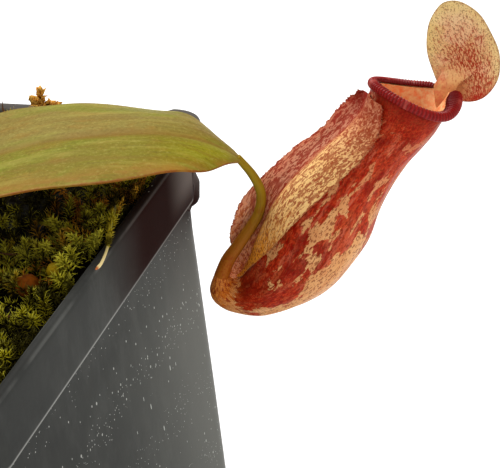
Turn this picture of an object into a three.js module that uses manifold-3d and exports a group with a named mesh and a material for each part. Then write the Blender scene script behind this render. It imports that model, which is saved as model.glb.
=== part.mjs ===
// A tropical pitcher plant in a square plastic nursery pot.
// Millimetres, +Z up. The origin is the centre of the pot's flat base.
// Each leaf, with its tendril and pitcher, is drawn in its own upright mid plane:
// "out" is the distance from the stem, "side" is across the leaf and "up" is the height.
import * as THREE from "three";
import { mergeVertices } from "three/addons/utils/BufferGeometryUtils.js";
import Module from "manifold-3d";

const wasm = await Module();
wasm.setup();

const RAD = Math.PI / 180;
const GAP = 0.3; // between pieces that touch

// Pot: half widths are from the middle to a flat face, radii are of the rounded corners
const POT_HEIGHT = 120;
const BAND_HEIGHT = 17.2;
const POT_FLOOR = 2.4;
const CORNER_STEPS = 4;
// [half width, corner radius, height], from the base up the outside and down the inside
const POT_PROFILE = [
  [56.4, 11.4, 0],
  [57.3, 12, 0.9],
  [60.6, 12.2, POT_HEIGHT - BAND_HEIGHT],
  [63.2, 12.2, POT_HEIGHT - BAND_HEIGHT],
  [64.9, 9.8, POT_HEIGHT - 1.2],
  [64.3, 9.4, POT_HEIGHT],
  [62.7, 8.2, POT_HEIGHT],
  [62, 7.8, POT_HEIGHT - 1],
  [61.2, 8.2, POT_HEIGHT - 15],
  [58.8, 10.6, POT_HEIGHT - 18],
  [55.5, 10.4, POT_FLOOR],
];
const DRAIN_RADIUS = 4.5;
const DRAIN_PLACE = 34; // from the middle, along X and along Y

// Growing medium and moss
const STEM_RADIUS = 6;
const HOLE_RADIUS = STEM_RADIUS + GAP;
const MEDIUM_TOP = 109;
const MOSS_TOP = 116.5;
const BED_HALF = 60.2; // of the medium's top and of the moss
const BED_CORNER = 8.2;
const MOSS_TUFT_SPACING = 12.8;
const TUFT_LEAVES = 4;
const TUFT_LEAF_LENGTH = 7.2;
const TUFT_LEAF_ROOT = 1.3;

// Stem
const STEM_FOOT = 84;
const STEM_TOP = 127;

// Leaf blade stations: [out, up, half width, rise of the far edge, rise of the near edge]
const BLADE_THICKNESS = 0.8;
const BLADE_STATIONS = [
  [6.9, 119, 2.2, 0.4, 0.4],
  [12, 124, 3.6, 0.8, 0.8],
  [19, 129, 8.4, 1, 1.2],
  [29, 133.4, 16.8, 0.8, 1.4],
  [38, 135.3, 20.9, 0.4, 1],
  [49.3, 136.6, 20.4, -1, -0.6],
  [60.6, 136.4, 20.4, -3, -0.4],
  [71.6, 135.3, 18.2, -3.6, -0.9],
  [78.8, 133.3, 15.2, -2.6, -0.8],
  [84, 131, 10.8, -2.4, -1.4],
  [88, 128.2, 5.6, -1.6, -1],
  [90.6, 125.6, 1.4, -0.2, -0.2],
];
const BLADE_WAVE = 0.35;

// Tendril stations: [out, up, radius]
const TENDRIL_STATIONS = [
  [91.1, 124.8, 1],
  [93.2, 120.8, 1.05],
  [94.5, 116.2, 1.15],
  [94.1, 112.4, 1.2],
  [92.8, 109.2, 1.3],
  [90.1, 105.5, 1.4],
  [87.2, 101.8, 1.5],
  [84.3, 98.1, 1.7],
  [82.4, 94.4, 1.8],
];
// A tendril that has no pitcher yet and curls at its tip
const SEEKING_TENDRIL_STATIONS = [
  [91.1, 124.8],
  [94.2, 122.6],
  [98.2, 122],
  [102, 123.8],
  [104, 127.6],
  [102.8, 131.2],
  [99.4, 132],
  [97.6, 129.6],
].map(([out, up], i) => [out, up, 1 - 0.045 * i]);

// Pitcher stations in the mid plane, from the tendril to the mouth:
// [out and up of the front line, out and up of the back line, half width across]
const CUP_STATIONS = [
  [83.9, 93.3, 80.5, 94.7, 1.9],
  [84.9, 92.5, 79.5, 89.6, 3.1],
  [86.9, 93.2, 83.2, 84, 5.2],
  [89.6, 97.6, 92.3, 81.8, 8.3],
  [92.9, 104.9, 105.6, 86.4, 11.3],
  [99.2, 115.1, 117, 100.4, 12.2],
  [108.4, 123.6, 124.9, 112.1, 10.5],
  [115.6, 129.4, 130.6, 121.4, 9],
  [120, 133.6, 135.8, 128.2, 8.8],
  [122.6, 138.2, 141, 133.6, 8.5],
];
const CUP_WALL = 1.1;
const CUP_INSIDE_START = 0.24; // the hollow begins this far along the stations
const MOUTH_SAG = 2.2; // the mouth's two sides lie this much lower than its front and back

// Angles round the pitcher: 0 at the back, 90 on the near side, 180 at the front
const NECK_ANGLE = -30;
const NECK_HALF_ANGLE = 20;
const WING_THICKNESS = 0.8;
const WING_ROOT_DEPTH = 0.7;
const WING_FRINGE = 0.45;
// Near wing, folded over the near side:
// [place along the pitcher, angle of its free edge, how far it stands off the pitcher]
const NEAR_WING = [
  [0.33, 158, 0.9],
  [0.38, 149, 0.9],
  [0.44, 141, 1],
  [0.54, 131, 1.5],
  [0.62, 124, 2],
  [0.71, 116, 2],
  [0.8, 111, 1.9],
  [0.89, 115, 1.7],
  [0.945, 124, 1.3],
];
const NEAR_WING_ROOT = 168;
// Far wing, standing out from the front: [place along the pitcher, out and up of its free edge]
const FAR_WING = [
  [0.31, 85.5, 99.3],
  [0.35, 85.5, 102.8],
  [0.4, 86.7, 106.3],
  [0.47, 89.2, 111.9],
  [0.53, 93.9, 116.6],
  [0.59, 98.6, 120.9],
  [0.65, 103.8, 124.6],
  [0.72, 109.5, 128.2],
  [0.81, 114.8, 133.2],
  [0.88, 117.8, 135.9],
  [0.94, 120.2, 136.8],
];
const FAR_WING_ROOT = 186;
const FAR_WING_SIDE = 3.2;
const FAR_WING_BELLY = 1.3;

// Peristome: the ribbed lip on the mouth, as [outward, upward] from the cup's rim
const LIP_SECTION = [
  [-1.2, 0.35],
  [-1.5, 0.7],
  [-0.9, 1.2],
  [0.1, 1.4],
  [0.9, 1],
  [1.2, 0.3],
  [1.1, -0.7],
  [0.6, -0.7],
  [0.55, 0.3],
];
const LIP_RIB = 0.22;

// Lid: a tilted ovate blade on a short neck. Places in its plane are [across, up] from its foot.
const LID_FACE = -50; // its front looks this far round from the leaf's foot, towards the near side
const LID_LEAN = 15;
const LID_MIDDLE = [2.5, 8.1];
const LID_HALF = [8.6, 11.2];
const LID_ROLL = 24;
const LID_SETBACK = 3.3;
const LID_FOOT_GAP = 1.15; // at the neck's middle, because the rim slopes under it
const LID_HOLLOW = 1.3;
const LID_THICKNESS = 0.9;
// The neck: [across, up, half width, half thickness, set back]
const NECK_STATIONS = [
  [0, 0, 2.3, 0.5, 0],
  [0.1, 1.2, 2.3, 0.5, 0.4],
  [0.5, 2.8, 2.1, 0.5, 2],
  [1.2, 5.2, 1.2, 0.35, 3.1],
];

// How finely a leaf and its pitcher are divided
const FINE = {
  blade: [24, 8],
  tendril: [16, 8],
  cup: { around: 24, rows: 20, insideRows: 8, wingRows: 23 },
  ribs: 24,
  lid: 22,
};
const PLAIN = {
  blade: [18, 6],
  tendril: [14, 6],
  cup: { around: 16, rows: 16, insideRows: 6, wingRows: 17 },
  ribs: 14,
  lid: 16,
};
// Each leaf: turn round the stem, size against the largest, lift above it, and what it carries
const LEAVES = [
  { number: 1, turn: 22, size: 1, lift: 0, ends: "pitcher", detail: FINE },
  { number: 2, turn: 134, size: 0.84, lift: 9, ends: "tendril", detail: PLAIN },
  { number: 3, turn: 192, size: 0.93, lift: -1, ends: "bud", detail: PLAIN },
  { number: 4, turn: 262, size: 0.88, lift: 0, ends: "pitcher", detail: PLAIN },
  { number: 5, turn: 318, size: 0.7, lift: 14, ends: "tendril", detail: PLAIN },
];
const LEAF_FOOT = [BLADE_STATIONS[0][0], BLADE_STATIONS[0][1]];

const material = (color, roughness) =>
  new THREE.MeshStandardMaterial({ color, roughness, metalness: 0 });
const POT_PLASTIC = material(0x4a4c4c, 0.5);
const MEDIUM_BARK = material(0x3b2a1d, 0.95);
const MOSS_GREEN = material(0x77802b, 0.9);
const MOSS_ORANGE = material(0xa2662a, 0.9);
const STEM_GREEN = material(0x7a7a3a, 0.7);
const LEAF_OLIVE = material(0x9a9445, 0.5);
const TENDRIL_OLIVE = material(0x8f7233, 0.5);
const CUP_RED = material(0xa84a30, 0.4);
const LIP_CRIMSON = material(0x6e1218, 0.2);
const LID_CREAM = material(0xe3b074, 0.45);

// A seeded random number between 0 and 1
function randomFrom(seed) {
  let state = seed;
  return () => {
    state = (state * 1664525 + 1013904223) % 4294967296;
    return state / 4294967296;
  };
}

// A smooth value at t (0 to 1) through evenly spaced rows of numbers
function smooth(rows, t) {
  const last = rows.length - 1;
  const place = Math.min(Math.max(t, 0), 1) * last;
  const i = Math.min(Math.floor(place), last - 1);
  const w = place - i;
  const before = rows[Math.max(i - 1, 0)];
  const after = rows[Math.min(i + 2, last)];
  return rows[i].map((a, k) => {
    const b = rows[i + 1][k];
    const m1 = i > 0 ? (b - before[k]) / 2 : b - a;
    const m2 = i + 2 <= last ? (after[k] - a) / 2 : b - a;
    return (
      (2 * w ** 3 - 3 * w ** 2 + 1) * a +
      (w ** 3 - 2 * w ** 2 + w) * m1 +
      (3 * w ** 2 - 2 * w ** 3) * b +
      (w ** 3 - w ** 2) * m2
    );
  });
}

// A closed solid from points and triangles, turned so that its faces point out
function solidFrom(points, triangles) {
  let volume = 0;
  for (const [a, b, c] of triangles)
    volume += points[a].dot(new THREE.Vector3().crossVectors(points[b], points[c]));
  const index = triangles.flatMap(([a, b, c]) => (volume < 0 ? [a, c, b] : [a, b, c]));
  const geometry = new THREE.BufferGeometry();
  geometry.setAttribute(
    "position",
    new THREE.Float32BufferAttribute(points.flatMap((p) => p.toArray()), 3),
  );
  geometry.setIndex(index);
  return geometry;
}

// Rings of equal count joined in turn, with both ends closed by a fan to their middle
function loft(rings) {
  const count = rings[0].length;
  const points = rings.flat().map((p) => p.clone());
  const triangles = [];
  for (let i = 0; i < rings.length - 1; i++)
    for (let j = 0; j < count; j++) {
      const a = i * count + j;
      const b = i * count + ((j + 1) % count);
      triangles.push([a, b, b + count], [a, b + count, a + count]);
    }
  for (const ring of [0, rings.length - 1]) {
    const middle = new THREE.Vector3();
    rings[ring].forEach((p) => middle.addScaledVector(p, 1 / count));
    const m = points.push(middle) - 1;
    for (let j = 0; j < count; j++) {
      const a = ring * count + j;
      const b = ring * count + ((j + 1) % count);
      triangles.push(ring === 0 ? [m, b, a] : [m, a, b]);
    }
  }
  return solidFrom(points, triangles);
}

// A thin sheet from a grid of points, given an even thickness, with both faces split alike
function sheet(grid, thickness) {
  const rows = grid.length;
  const columns = grid[0].length;
  const at = (i, j) =>
    grid[Math.min(Math.max(i, 0), rows - 1)][Math.min(Math.max(j, 0), columns - 1)];
  const upper = [];
  const lower = [];
  for (let i = 0; i < rows; i++)
    for (let j = 0; j < columns; j++) {
      const along = at(i + 1, j).clone().sub(at(i - 1, j));
      const across = at(i, j + 1).clone().sub(at(i, j - 1));
      const normal = along.cross(across).normalize();
      upper.push(at(i, j).clone().addScaledVector(normal, thickness / 2));
      lower.push(at(i, j).clone().addScaledVector(normal, -thickness / 2));
    }
  const points = [...upper, ...lower];
  const under = upper.length;
  const triangles = [];
  for (let i = 0; i < rows - 1; i++)
    for (let j = 0; j < columns - 1; j++) {
      const a = i * columns + j;
      const b = a + 1;
      const c = a + columns + 1;
      const d = a + columns;
      triangles.push([a, b, c], [a, c, d]);
      triangles.push([under + a, under + c, under + b], [under + a, under + d, under + c]);
    }
  const wall = (a, b) => triangles.push([a, under + b, under + a], [a, b, under + b]);
  for (let i = 0; i < rows - 1; i++) {
    wall(i * columns, (i + 1) * columns);
    wall((i + 2) * columns - 1, (i + 1) * columns - 1);
  }
  for (let j = 0; j < columns - 1; j++) {
    wall(j + 1, j);
    wall((rows - 1) * columns + j, (rows - 1) * columns + j + 1);
  }
  return solidFrom(points, triangles);
}

// A geometry as a solid that can be joined or cut, and back again
function cuttable(geometry) {
  const plain = geometry.clone();
  plain.deleteAttribute("normal");
  plain.deleteAttribute("uv");
  const merged = mergeVertices(plain, 1e-4);
  return new wasm.Manifold(
    new wasm.Mesh({
      numProp: 3,
      vertProperties: new Float32Array(merged.attributes.position.array),
      triVerts: new Uint32Array(merged.index.array),
    }),
  );
}

function geometryOf(solid) {
  const found = solid.getMesh();
  const geometry = new THREE.BufferGeometry();
  geometry.setAttribute("position", new THREE.BufferAttribute(found.vertProperties, 3));
  geometry.setIndex(new THREE.BufferAttribute(found.triVerts, 1));
  return geometry;
}

function named(name, geometry, look) {
  const mesh = new THREE.Mesh(geometry, look);
  mesh.name = name;
  return mesh;
}

// A point of a leaf's own frame
const place = (out, side, up) => new THREE.Vector3(out, side, up);

// A square ring with rounded corners at one height, bumped up or down by a function
function squareRing(half, radius, height, bump = () => 0) {
  const ring = [];
  for (let corner = 0; corner < 4; corner++) {
    const turn = corner * 90;
    const cx = (half - radius) * (corner === 0 || corner === 3 ? 1 : -1);
    const cy = (half - radius) * (corner < 2 ? 1 : -1);
    for (let k = 0; k <= CORNER_STEPS; k++) {
      const angle = (turn + (k * 90) / CORNER_STEPS) * RAD;
      const x = cx + radius * Math.cos(angle);
      const y = cy + radius * Math.sin(angle);
      ring.push(new THREE.Vector3(x, y, height + bump(x, y)));
    }
  }
  return ring;
}

function upright(radius, from, to, sides) {
  const geometry = new THREE.CylinderGeometry(radius, radius, to - from, sides);
  geometry.rotateX(Math.PI / 2);
  geometry.translate(0, 0, (from + to) / 2);
  return geometry;
}

function pot() {
  let body = cuttable(loft(POT_PROFILE.map(([half, radius, z]) => squareRing(half, radius, z))));
  for (const x of [-DRAIN_PLACE, DRAIN_PLACE])
    for (const y of [-DRAIN_PLACE, DRAIN_PLACE]) {
      const hole = upright(DRAIN_RADIUS, -1, POT_FLOOR + 1, 12);
      hole.translate(x, y, 0);
      body = body.subtract(cuttable(hole));
    }
  return named("pot", geometryOf(body), POT_PLASTIC);
}

function growingMedium() {
  const rings = [
    squareRing(54.6, 9.6, POT_FLOOR + GAP),
    squareRing(55, 10, POT_FLOOR + GAP + 1),
    squareRing(57.8, 10.4, POT_HEIGHT - 19),
    squareRing(BED_HALF, BED_CORNER, POT_HEIGHT - 14.4),
    squareRing(BED_HALF, BED_CORNER, MEDIUM_TOP),
  ];
  const hole = cuttable(upright(HOLE_RADIUS, STEM_FOOT - GAP, MEDIUM_TOP + 10, 12));
  const body = cuttable(loft(rings)).subtract(hole);
  return named("growing_medium", geometryOf(body), MEDIUM_BARK);
}

// One pointed moss leaf: a three-sided spike from its root to its tip
function spike(root, tip, width) {
  const along = tip.clone().sub(root).normalize();
  const across = new THREE.Vector3(0.3, 0.2, 1).cross(along).normalize();
  const other = along.clone().cross(across);
  const ring = [0, 120, 240].map((angle) =>
    root
      .clone()
      .addScaledVector(across, width * Math.cos(angle * RAD))
      .addScaledVector(other, width * Math.sin(angle * RAD)),
  );
  return solidFrom([...ring, tip.clone()], [[0, 2, 1], [0, 1, 3], [1, 2, 3], [2, 0, 3]]);
}

// A tuft: pointed leaves that spread from one place on the moss
function tuft(x, y, z, leaves, length, random) {
  const spikes = [];
  const start = random() * 360;
  for (let k = 0; k < leaves; k++) {
    const angle = (start + (k * 360) / leaves) * RAD;
    const rise = (28 + 38 * random()) * RAD;
    const reach = length * (0.75 + 0.5 * random());
    const root = new THREE.Vector3(x, y, z - 1.4);
    const tip = new THREE.Vector3(
      x + reach * Math.cos(rise) * Math.cos(angle),
      y + reach * Math.cos(rise) * Math.sin(angle),
      z + reach * Math.sin(rise),
    );
    spikes.push(cuttable(spike(root, tip, TUFT_LEAF_ROOT)));
  }
  return spikes;
}

// The moss rises and falls in low waves that never repeat across the pot
const mossWave = (x, y) =>
  1.1 * Math.sin(x / 9.5 + 1.7) * Math.cos(y / 8.3 - 0.5) + 0.8 * Math.sin((x + y) / 13 + 2.2);
const mossHeight = (x, y) => MOSS_TOP + mossWave(x, y);

function moss() {
  const rings = [squareRing(BED_HALF, BED_CORNER, MEDIUM_TOP + GAP)];
  for (const share of [1, 0.78, 0.55, 0.3])
    rings.push(squareRing(BED_HALF * share, BED_CORNER * share, MOSS_TOP, mossWave));
  const parts = [cuttable(loft(rings))];
  const random = randomFrom(7);
  const limit = BED_HALF - 4.5;
  const rows = Math.floor(limit / MOSS_TUFT_SPACING);
  for (let i = -rows; i <= rows; i++)
    for (let j = -rows; j <= rows; j++) {
      const x = (i + 0.5 * (random() - 0.5)) * MOSS_TUFT_SPACING;
      const y = (j + 0.5 * (random() - 0.5)) * MOSS_TUFT_SPACING;
      if (Math.hypot(x, y) < 17) continue;
      parts.push(...tuft(x, y, mossHeight(x, y), TUFT_LEAVES, TUFT_LEAF_LENGTH, random));
    }
  const hole = cuttable(upright(HOLE_RADIUS + 0.4, MEDIUM_TOP - 5, MOSS_TOP + 20, 12));
  const body = wasm.Manifold.union(parts).subtract(hole);
  return named("moss", geometryOf(body), MOSS_GREEN);
}

// A stout orange-brown moss sprig that stands on the green moss by the back rim
const SPRIG_PLACE = [20, 57];
const SPRIG_HEIGHT = 8.4;
function mossSprig() {
  const [x, y] = SPRIG_PLACE;
  const foot = mossHeight(x, y) + GAP;
  const random = randomFrom(3);
  const stalk = [0, 0.5, 1].map((t) => {
    const ring = [];
    for (let k = 0; k < 5; k++) {
      const angle = k * 72 * RAD;
      const radius = 1.3 - 0.6 * t;
      ring.push(
        new THREE.Vector3(
          x + radius * Math.cos(angle) + 0.8 * t,
          y + radius * Math.sin(angle),
          foot + SPRIG_HEIGHT * t,
        ),
      );
    }
    return ring;
  });
  const parts = [cuttable(loft(stalk))];
  for (const t of [0.55, 0.98])
    parts.push(...tuft(x + 0.8 * t, y, foot + SPRIG_HEIGHT * t, 5, 4.6, random));
  return named("moss_sprig", geometryOf(wasm.Manifold.union(parts)), MOSS_ORANGE);
}

// The stem, with the scars of old leaves as shallow steps
function stem() {
  const heights = [STEM_FOOT, 100, 110, 112, 117, 118, 121, 124, STEM_TOP];
  const radii = [2.5, 5.4, STEM_RADIUS, 5.4, STEM_RADIUS, 6.4, 6.2, 4.4, 2.6];
  const rings = heights.map((z, i) => {
    const ring = [];
    for (let k = 0; k < 12; k++)
      ring.push(
        new THREE.Vector3(radii[i] * Math.cos(k * 30 * RAD), radii[i] * Math.sin(k * 30 * RAD), z),
      );
    return ring;
  });
  return named("stem", loft(rings), STEM_GREEN);
}

// The youngest leaf, still rolled up, standing on the stem's tip
const SPEAR_STATIONS = [
  [0, 1.6],
  [5, 2.5],
  [13, 2.9],
  [21, 1.9],
  [26, 0.8],
  [31, 0.5],
];
function youngLeaf() {
  const rings = SPEAR_STATIONS.map(([along, radius], i) => {
    const ring = [];
    for (let k = 0; k < 10; k++) {
      const angle = (k * 36 + i * 12) * RAD;
      const rolled = radius * (1 + 0.16 * Math.cos(angle - i * 0.2));
      ring.push(
        new THREE.Vector3(
          rolled * Math.cos(angle) - 0.004 * along ** 2,
          rolled * Math.sin(angle) - 0.006 * along ** 2,
          STEM_TOP + GAP + along,
        ),
      );
    }
    return ring;
  });
  return named("young_leaf", loft(rings), LEAF_OLIVE);
}

function leafBlade(number, [rows, columns]) {
  const grid = [];
  for (let i = 0; i <= rows; i++) {
    const t = i / rows;
    const [out, up, half, farRise, nearRise] = smooth(BLADE_STATIONS, t);
    const row = [];
    for (let j = 0; j <= columns; j++) {
      const share = (j / columns) * 2 - 1;
      const rise = share > 0 ? farRise : nearRise;
      const keel = 0.5 * (1 - Math.min(Math.abs(share) * 4, 1)) * Math.min(half / 8, 1);
      const wave = BLADE_WAVE * Math.sin(t * 27 + (share > 0 ? 0 : 2)) * share ** 4;
      row.push(place(out, half * share, up + rise * share ** 2 - keel + wave));
    }
    grid.push(row);
  }
  return named("leaf_" + number, sheet(grid, BLADE_THICKNESS), LEAF_OLIVE);
}

// A round tube whose stations give its middle line and radius in the mid plane
function taperedTube(stations, [steps, sides]) {
  const rings = [];
  for (let i = 0; i <= steps; i++) {
    const t = i / steps;
    const [out, up, radius] = smooth(stations, t);
    const [aheadOut, aheadUp] = smooth(stations, Math.min(t + 0.01, 1));
    const [behindOut, behindUp] = smooth(stations, Math.max(t - 0.01, 0));
    const travel = Math.atan2(aheadUp - behindUp, aheadOut - behindOut);
    const ring = [];
    for (let k = 0; k < sides; k++) {
      const angle = (k * 360 * RAD) / sides;
      const inPlane = radius * Math.cos(angle);
      ring.push(
        place(
          out - inPlane * Math.sin(travel),
          radius * Math.sin(angle),
          up + inPlane * Math.cos(travel),
        ),
      );
    }
    rings.push(ring);
  }
  return loft(rings);
}

// A point on the pitcher: how far along, the angle round it and the height off its surface
function onCup(along, angle, off = 0) {
  const [frontOut, frontUp, backOut, backUp, halfWidth] = smooth(CUP_STATIONS, along);
  const halfOut = (backOut - frontOut) / 2;
  const halfUp = (backUp - frontUp) / 2;
  const halfDepth = Math.hypot(halfOut, halfUp);
  const c = Math.cos(angle * RAD);
  const s = Math.sin(angle * RAD);
  const depth = ((halfDepth + off) / halfDepth) * c;
  const mouth = Math.max(0, (along - 0.8) / 0.2);
  return place(
    (frontOut + backOut) / 2 + halfOut * depth,
    -(halfWidth + off) * s,
    (frontUp + backUp) / 2 + halfUp * depth - MOUTH_SAG * mouth ** 2 * s * s,
  );
}

function cupShell({ around, rows, insideRows }) {
  const ringAt = (along, off) => {
    const ring = [];
    for (let k = 0; k < around; k++) ring.push(onCup(along, (k * 360) / around, off));
    return ring;
  };
  const rings = [];
  for (let i = 0; i <= rows; i++) rings.push(ringAt(i / rows, 0));
  for (let i = 0; i <= insideRows; i++) {
    const along = 1 - (1 - CUP_INSIDE_START) * (i / insideRows);
    rings.push(ringAt(along, i === insideRows ? -3.4 * CUP_WALL : -CUP_WALL));
  }
  return cuttable(loft(rings));
}

// The wing that folds over the pitcher's near side, with a fringed free edge
function nearWing(rows) {
  const grid = [];
  for (let i = 0; i <= rows; i++) {
    const [along, free, standoff] = smooth(NEAR_WING, i / rows);
    const fringe = (i % 2 ? WING_FRINGE : -WING_FRINGE) * 2;
    const row = [onCup(along, NEAR_WING_ROOT, -WING_ROOT_DEPTH)];
    for (const [share, off] of [
      [0.06, 0.6],
      [0.25, 1.2],
      [0.6, 1.1],
      [1, 1],
    ]) {
      const turn = NEAR_WING_ROOT + (free - NEAR_WING_ROOT) * share;
      row.push(onCup(along, turn - (share === 1 ? fringe : 0), off * standoff));
    }
    grid.push(row);
  }
  return cuttable(sheet(grid, WING_THICKNESS));
}

// The wing that stands out from the pitcher's front
function farWing(rows) {
  const grid = [];
  for (let i = 0; i <= rows; i++) {
    const [along, out, up] = smooth(FAR_WING, i / rows);
    const root = onCup(along, FAR_WING_ROOT, -WING_ROOT_DEPTH);
    const free = place(out, FAR_WING_SIDE, up);
    const reach = free.distanceTo(root);
    const row = [];
    for (const share of [0, 0.35, 0.7, 1]) {
      const toothed = share === 1 ? share + ((i % 2 ? 1 : -1) * WING_FRINGE) / reach : share;
      const point = root.clone().lerp(free, toothed);
      point.y += FAR_WING_BELLY * Math.sin(share * Math.PI) + 0.35 * share * Math.sin(i * 1.3);
      row.push(point);
    }
    grid.push(row);
  }
  return cuttable(sheet(grid, WING_THICKNESS));
}

function cup(number, detail) {
  const wings = nearWing(detail.wingRows).add(farWing(detail.wingRows));
  const body = cupShell(detail).add(wings);
  return named("cup_" + number, geometryOf(body), CUP_RED);
}

// The lip runs round the mouth from one side of the lid's neck to the other
function peristome(number, ribs) {
  const steps = ribs * 2;
  const from = NECK_ANGLE + NECK_HALF_ANGLE;
  const sweep = 360 - 2 * NECK_HALF_ANGLE;
  const rings = [];
  for (let i = 0; i <= steps; i++) {
    const angle = from + (sweep * i) / steps;
    const rim = onCup(1, angle);
    const outward = onCup(1, angle, 1).sub(rim).normalize();
    const ahead = onCup(1, angle + 1).sub(onCup(1, angle - 1)).normalize();
    const upward = outward.clone().cross(ahead).normalize();
    if (upward.z < 0) upward.negate();
    const rib = i % 2 ? LIP_RIB : 0;
    rings.push(
      LIP_SECTION.map(([r, h]) => {
        const swell = h > GAP ? rib : 0;
        return rim.clone().addScaledVector(outward, r).addScaledVector(upward, h + swell);
      }),
    );
  }
  return named("peristome_" + number, loft(rings), LIP_CRIMSON);
}

// The lid stands on the cup's rim between the two ends of the lip
function lid(number, sides) {
  const foot = onCup(1, NECK_ANGLE, -CUP_WALL / 2).add(place(0, 0, LID_FOOT_GAP));
  const front = place(-Math.cos(LID_FACE * RAD), Math.sin(LID_FACE * RAD), 0);
  const across = place(-front.y, front.x, 0);
  const lean = LID_LEAN * RAD;
  const upward = place(0, 0, Math.cos(lean)).addScaledVector(front, -Math.sin(lean));
  const forward = front.clone().multiplyScalar(Math.cos(lean)).add(place(0, 0, Math.sin(lean)));
  const inPlane = (a, u, f) =>
    foot.clone().addScaledVector(across, a).addScaledVector(upward, u).addScaledVector(forward, f);
  const ovate = (share, face) => {
    const ring = [];
    for (let k = 0; k < sides; k++) {
      const angle = (k * 360 * RAD) / sides;
      const a = LID_HALF[0] * share * Math.cos(angle) * (1 - 0.1 * Math.sin(angle));
      const u = LID_HALF[1] * share * Math.sin(angle);
      const roll = LID_ROLL * RAD;
      ring.push(
        inPlane(
          LID_MIDDLE[0] + a * Math.cos(roll) - u * Math.sin(roll),
          LID_MIDDLE[1] + a * Math.sin(roll) + u * Math.cos(roll),
          LID_HOLLOW * share ** 2 - LID_SETBACK + (face * LID_THICKNESS) / 2,
        ),
      );
    }
    return ring;
  };
  const shares = [0.3, 0.6, 0.85, 1];
  const rings = shares.map((share) => ovate(share, 1));
  rings.push(...[...shares].reverse().map((share) => ovate(share, -1)));
  const neck = NECK_STATIONS.map(([a, u, halfWidth, halfThick, back]) => {
    const ring = [];
    for (let k = 0; k < 8; k++) {
      const angle = k * 45 * RAD;
      ring.push(inPlane(a + halfWidth * Math.cos(angle), u, halfThick * Math.sin(angle) - back));
    }
    return ring;
  });
  const body = cuttable(loft(rings)).add(cuttable(loft(neck)));
  return named("lid_" + number, geometryOf(body), LID_CREAM);
}

// A young pitcher, still closed, at the end of a tendril: [out, up, radius]
const BUD_STATIONS = [
  [82.1, 93.8, 1.7],
  [81.8, 91.2, 2.6],
  [83.8, 88.4, 3.4],
  [87.8, 88.6, 4.1],
  [91.2, 93.6, 4.7],
  [94.6, 99.4, 4.2],
  [97.4, 104.6, 3.2],
  [99.2, 107.4, 1.4],
];

function wholeLeaf({ number, turn, size, lift, ends, detail }) {
  const tendril = ends === "tendril" ? SEEKING_TENDRIL_STATIONS : TENDRIL_STATIONS;
  const pieces = new THREE.Group();
  pieces.add(leafBlade(number, detail.blade));
  pieces.add(named("tendril_" + number, taperedTube(tendril, detail.tendril), TENDRIL_OLIVE));
  if (ends === "pitcher") {
    pieces.add(cup(number, detail.cup));
    pieces.add(peristome(number, detail.ribs));
    pieces.add(lid(number, detail.lid));
  }
  if (ends === "bud") {
    pieces.add(named("bud_" + number, taperedTube(BUD_STATIONS, [11, 8]), CUP_RED));
  }
  const [footOut, footUp] = LEAF_FOOT;
  pieces.position.set(-footOut, 0, -footUp);
  const lifted = new THREE.Group().add(pieces);
  lifted.position.set(footOut, 0, footUp);
  lifted.rotation.y = -lift * RAD;
  lifted.scale.setScalar(size);
  const leaf = new THREE.Group().add(lifted);
  leaf.rotation.z = turn * RAD;
  return leaf;
}

const pitcherPlant = new THREE.Group();
pitcherPlant.add(pot(), growingMedium(), moss(), mossSprig(), stem(), youngLeaf());
for (const leaf of LEAVES) pitcherPlant.add(wholeLeaf(leaf));

export default pitcherPlant;
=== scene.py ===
"""Potted pitcher plant: the looks built around the packed solids.

Lengths in this file are in millimetres, in the part's own frame, and become metres when a mesh is made.
Each leaf, with its tendril and pitcher, is drawn in its own upright mid plane as (out, side, up):
out is the distance from the stem, side is across the leaf and up is the height.
"""

import math

import bpy
import numpy as np
from bpy.props import FloatProperty, FloatVectorProperty, IntProperty, PointerProperty
from mathutils import Matrix, Vector


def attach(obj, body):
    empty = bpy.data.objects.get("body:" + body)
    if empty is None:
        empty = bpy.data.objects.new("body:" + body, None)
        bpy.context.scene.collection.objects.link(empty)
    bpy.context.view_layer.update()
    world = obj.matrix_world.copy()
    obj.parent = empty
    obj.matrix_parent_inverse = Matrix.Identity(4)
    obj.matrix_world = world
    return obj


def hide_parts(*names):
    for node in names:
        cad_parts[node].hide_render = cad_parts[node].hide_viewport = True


bl_info = {
    "name": "Potted Pitcher Plant",
    "version": (1, 0, 0),
    "blender": (4, 5, 0),
    "location": "3D View > Sidebar > Pitcher Plant",
    "description": "Pot, moss, leaves, tendrils and pitchers of a potted pitcher plant",
    "category": "Object",
}

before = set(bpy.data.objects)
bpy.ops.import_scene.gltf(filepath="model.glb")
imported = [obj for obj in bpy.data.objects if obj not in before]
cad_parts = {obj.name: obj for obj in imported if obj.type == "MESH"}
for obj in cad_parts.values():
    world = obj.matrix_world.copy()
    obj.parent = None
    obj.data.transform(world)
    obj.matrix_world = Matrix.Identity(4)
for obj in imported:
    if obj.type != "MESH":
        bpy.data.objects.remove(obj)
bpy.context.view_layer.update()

MM = 0.001
RAD = math.pi / 180
TURN = 2 * math.pi
GOLDEN = 137.508 * RAD
SMOOTH = 180  # a crease angle that leaves no edge sharp
LEAFLET_POINTS = 5  # of a moss leaflet: its root, three in the middle and its tip
SPIKE_TIP = [0, 0, 0, 1.0]  # how near its tip each of a hair's four points is

# Turn round the stem in degrees, size against the largest leaf and lift in degrees, per leaf
LEAVES = {
    1: (22, 1.0, 0),
    2: (134, 0.84, 9),
    3: (192, 0.93, -1),
    4: (262, 0.88, 0),
    5: (318, 0.7, 14),
}
LEAF_FOOT = np.array([6.9, 0, 119.0])

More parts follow.
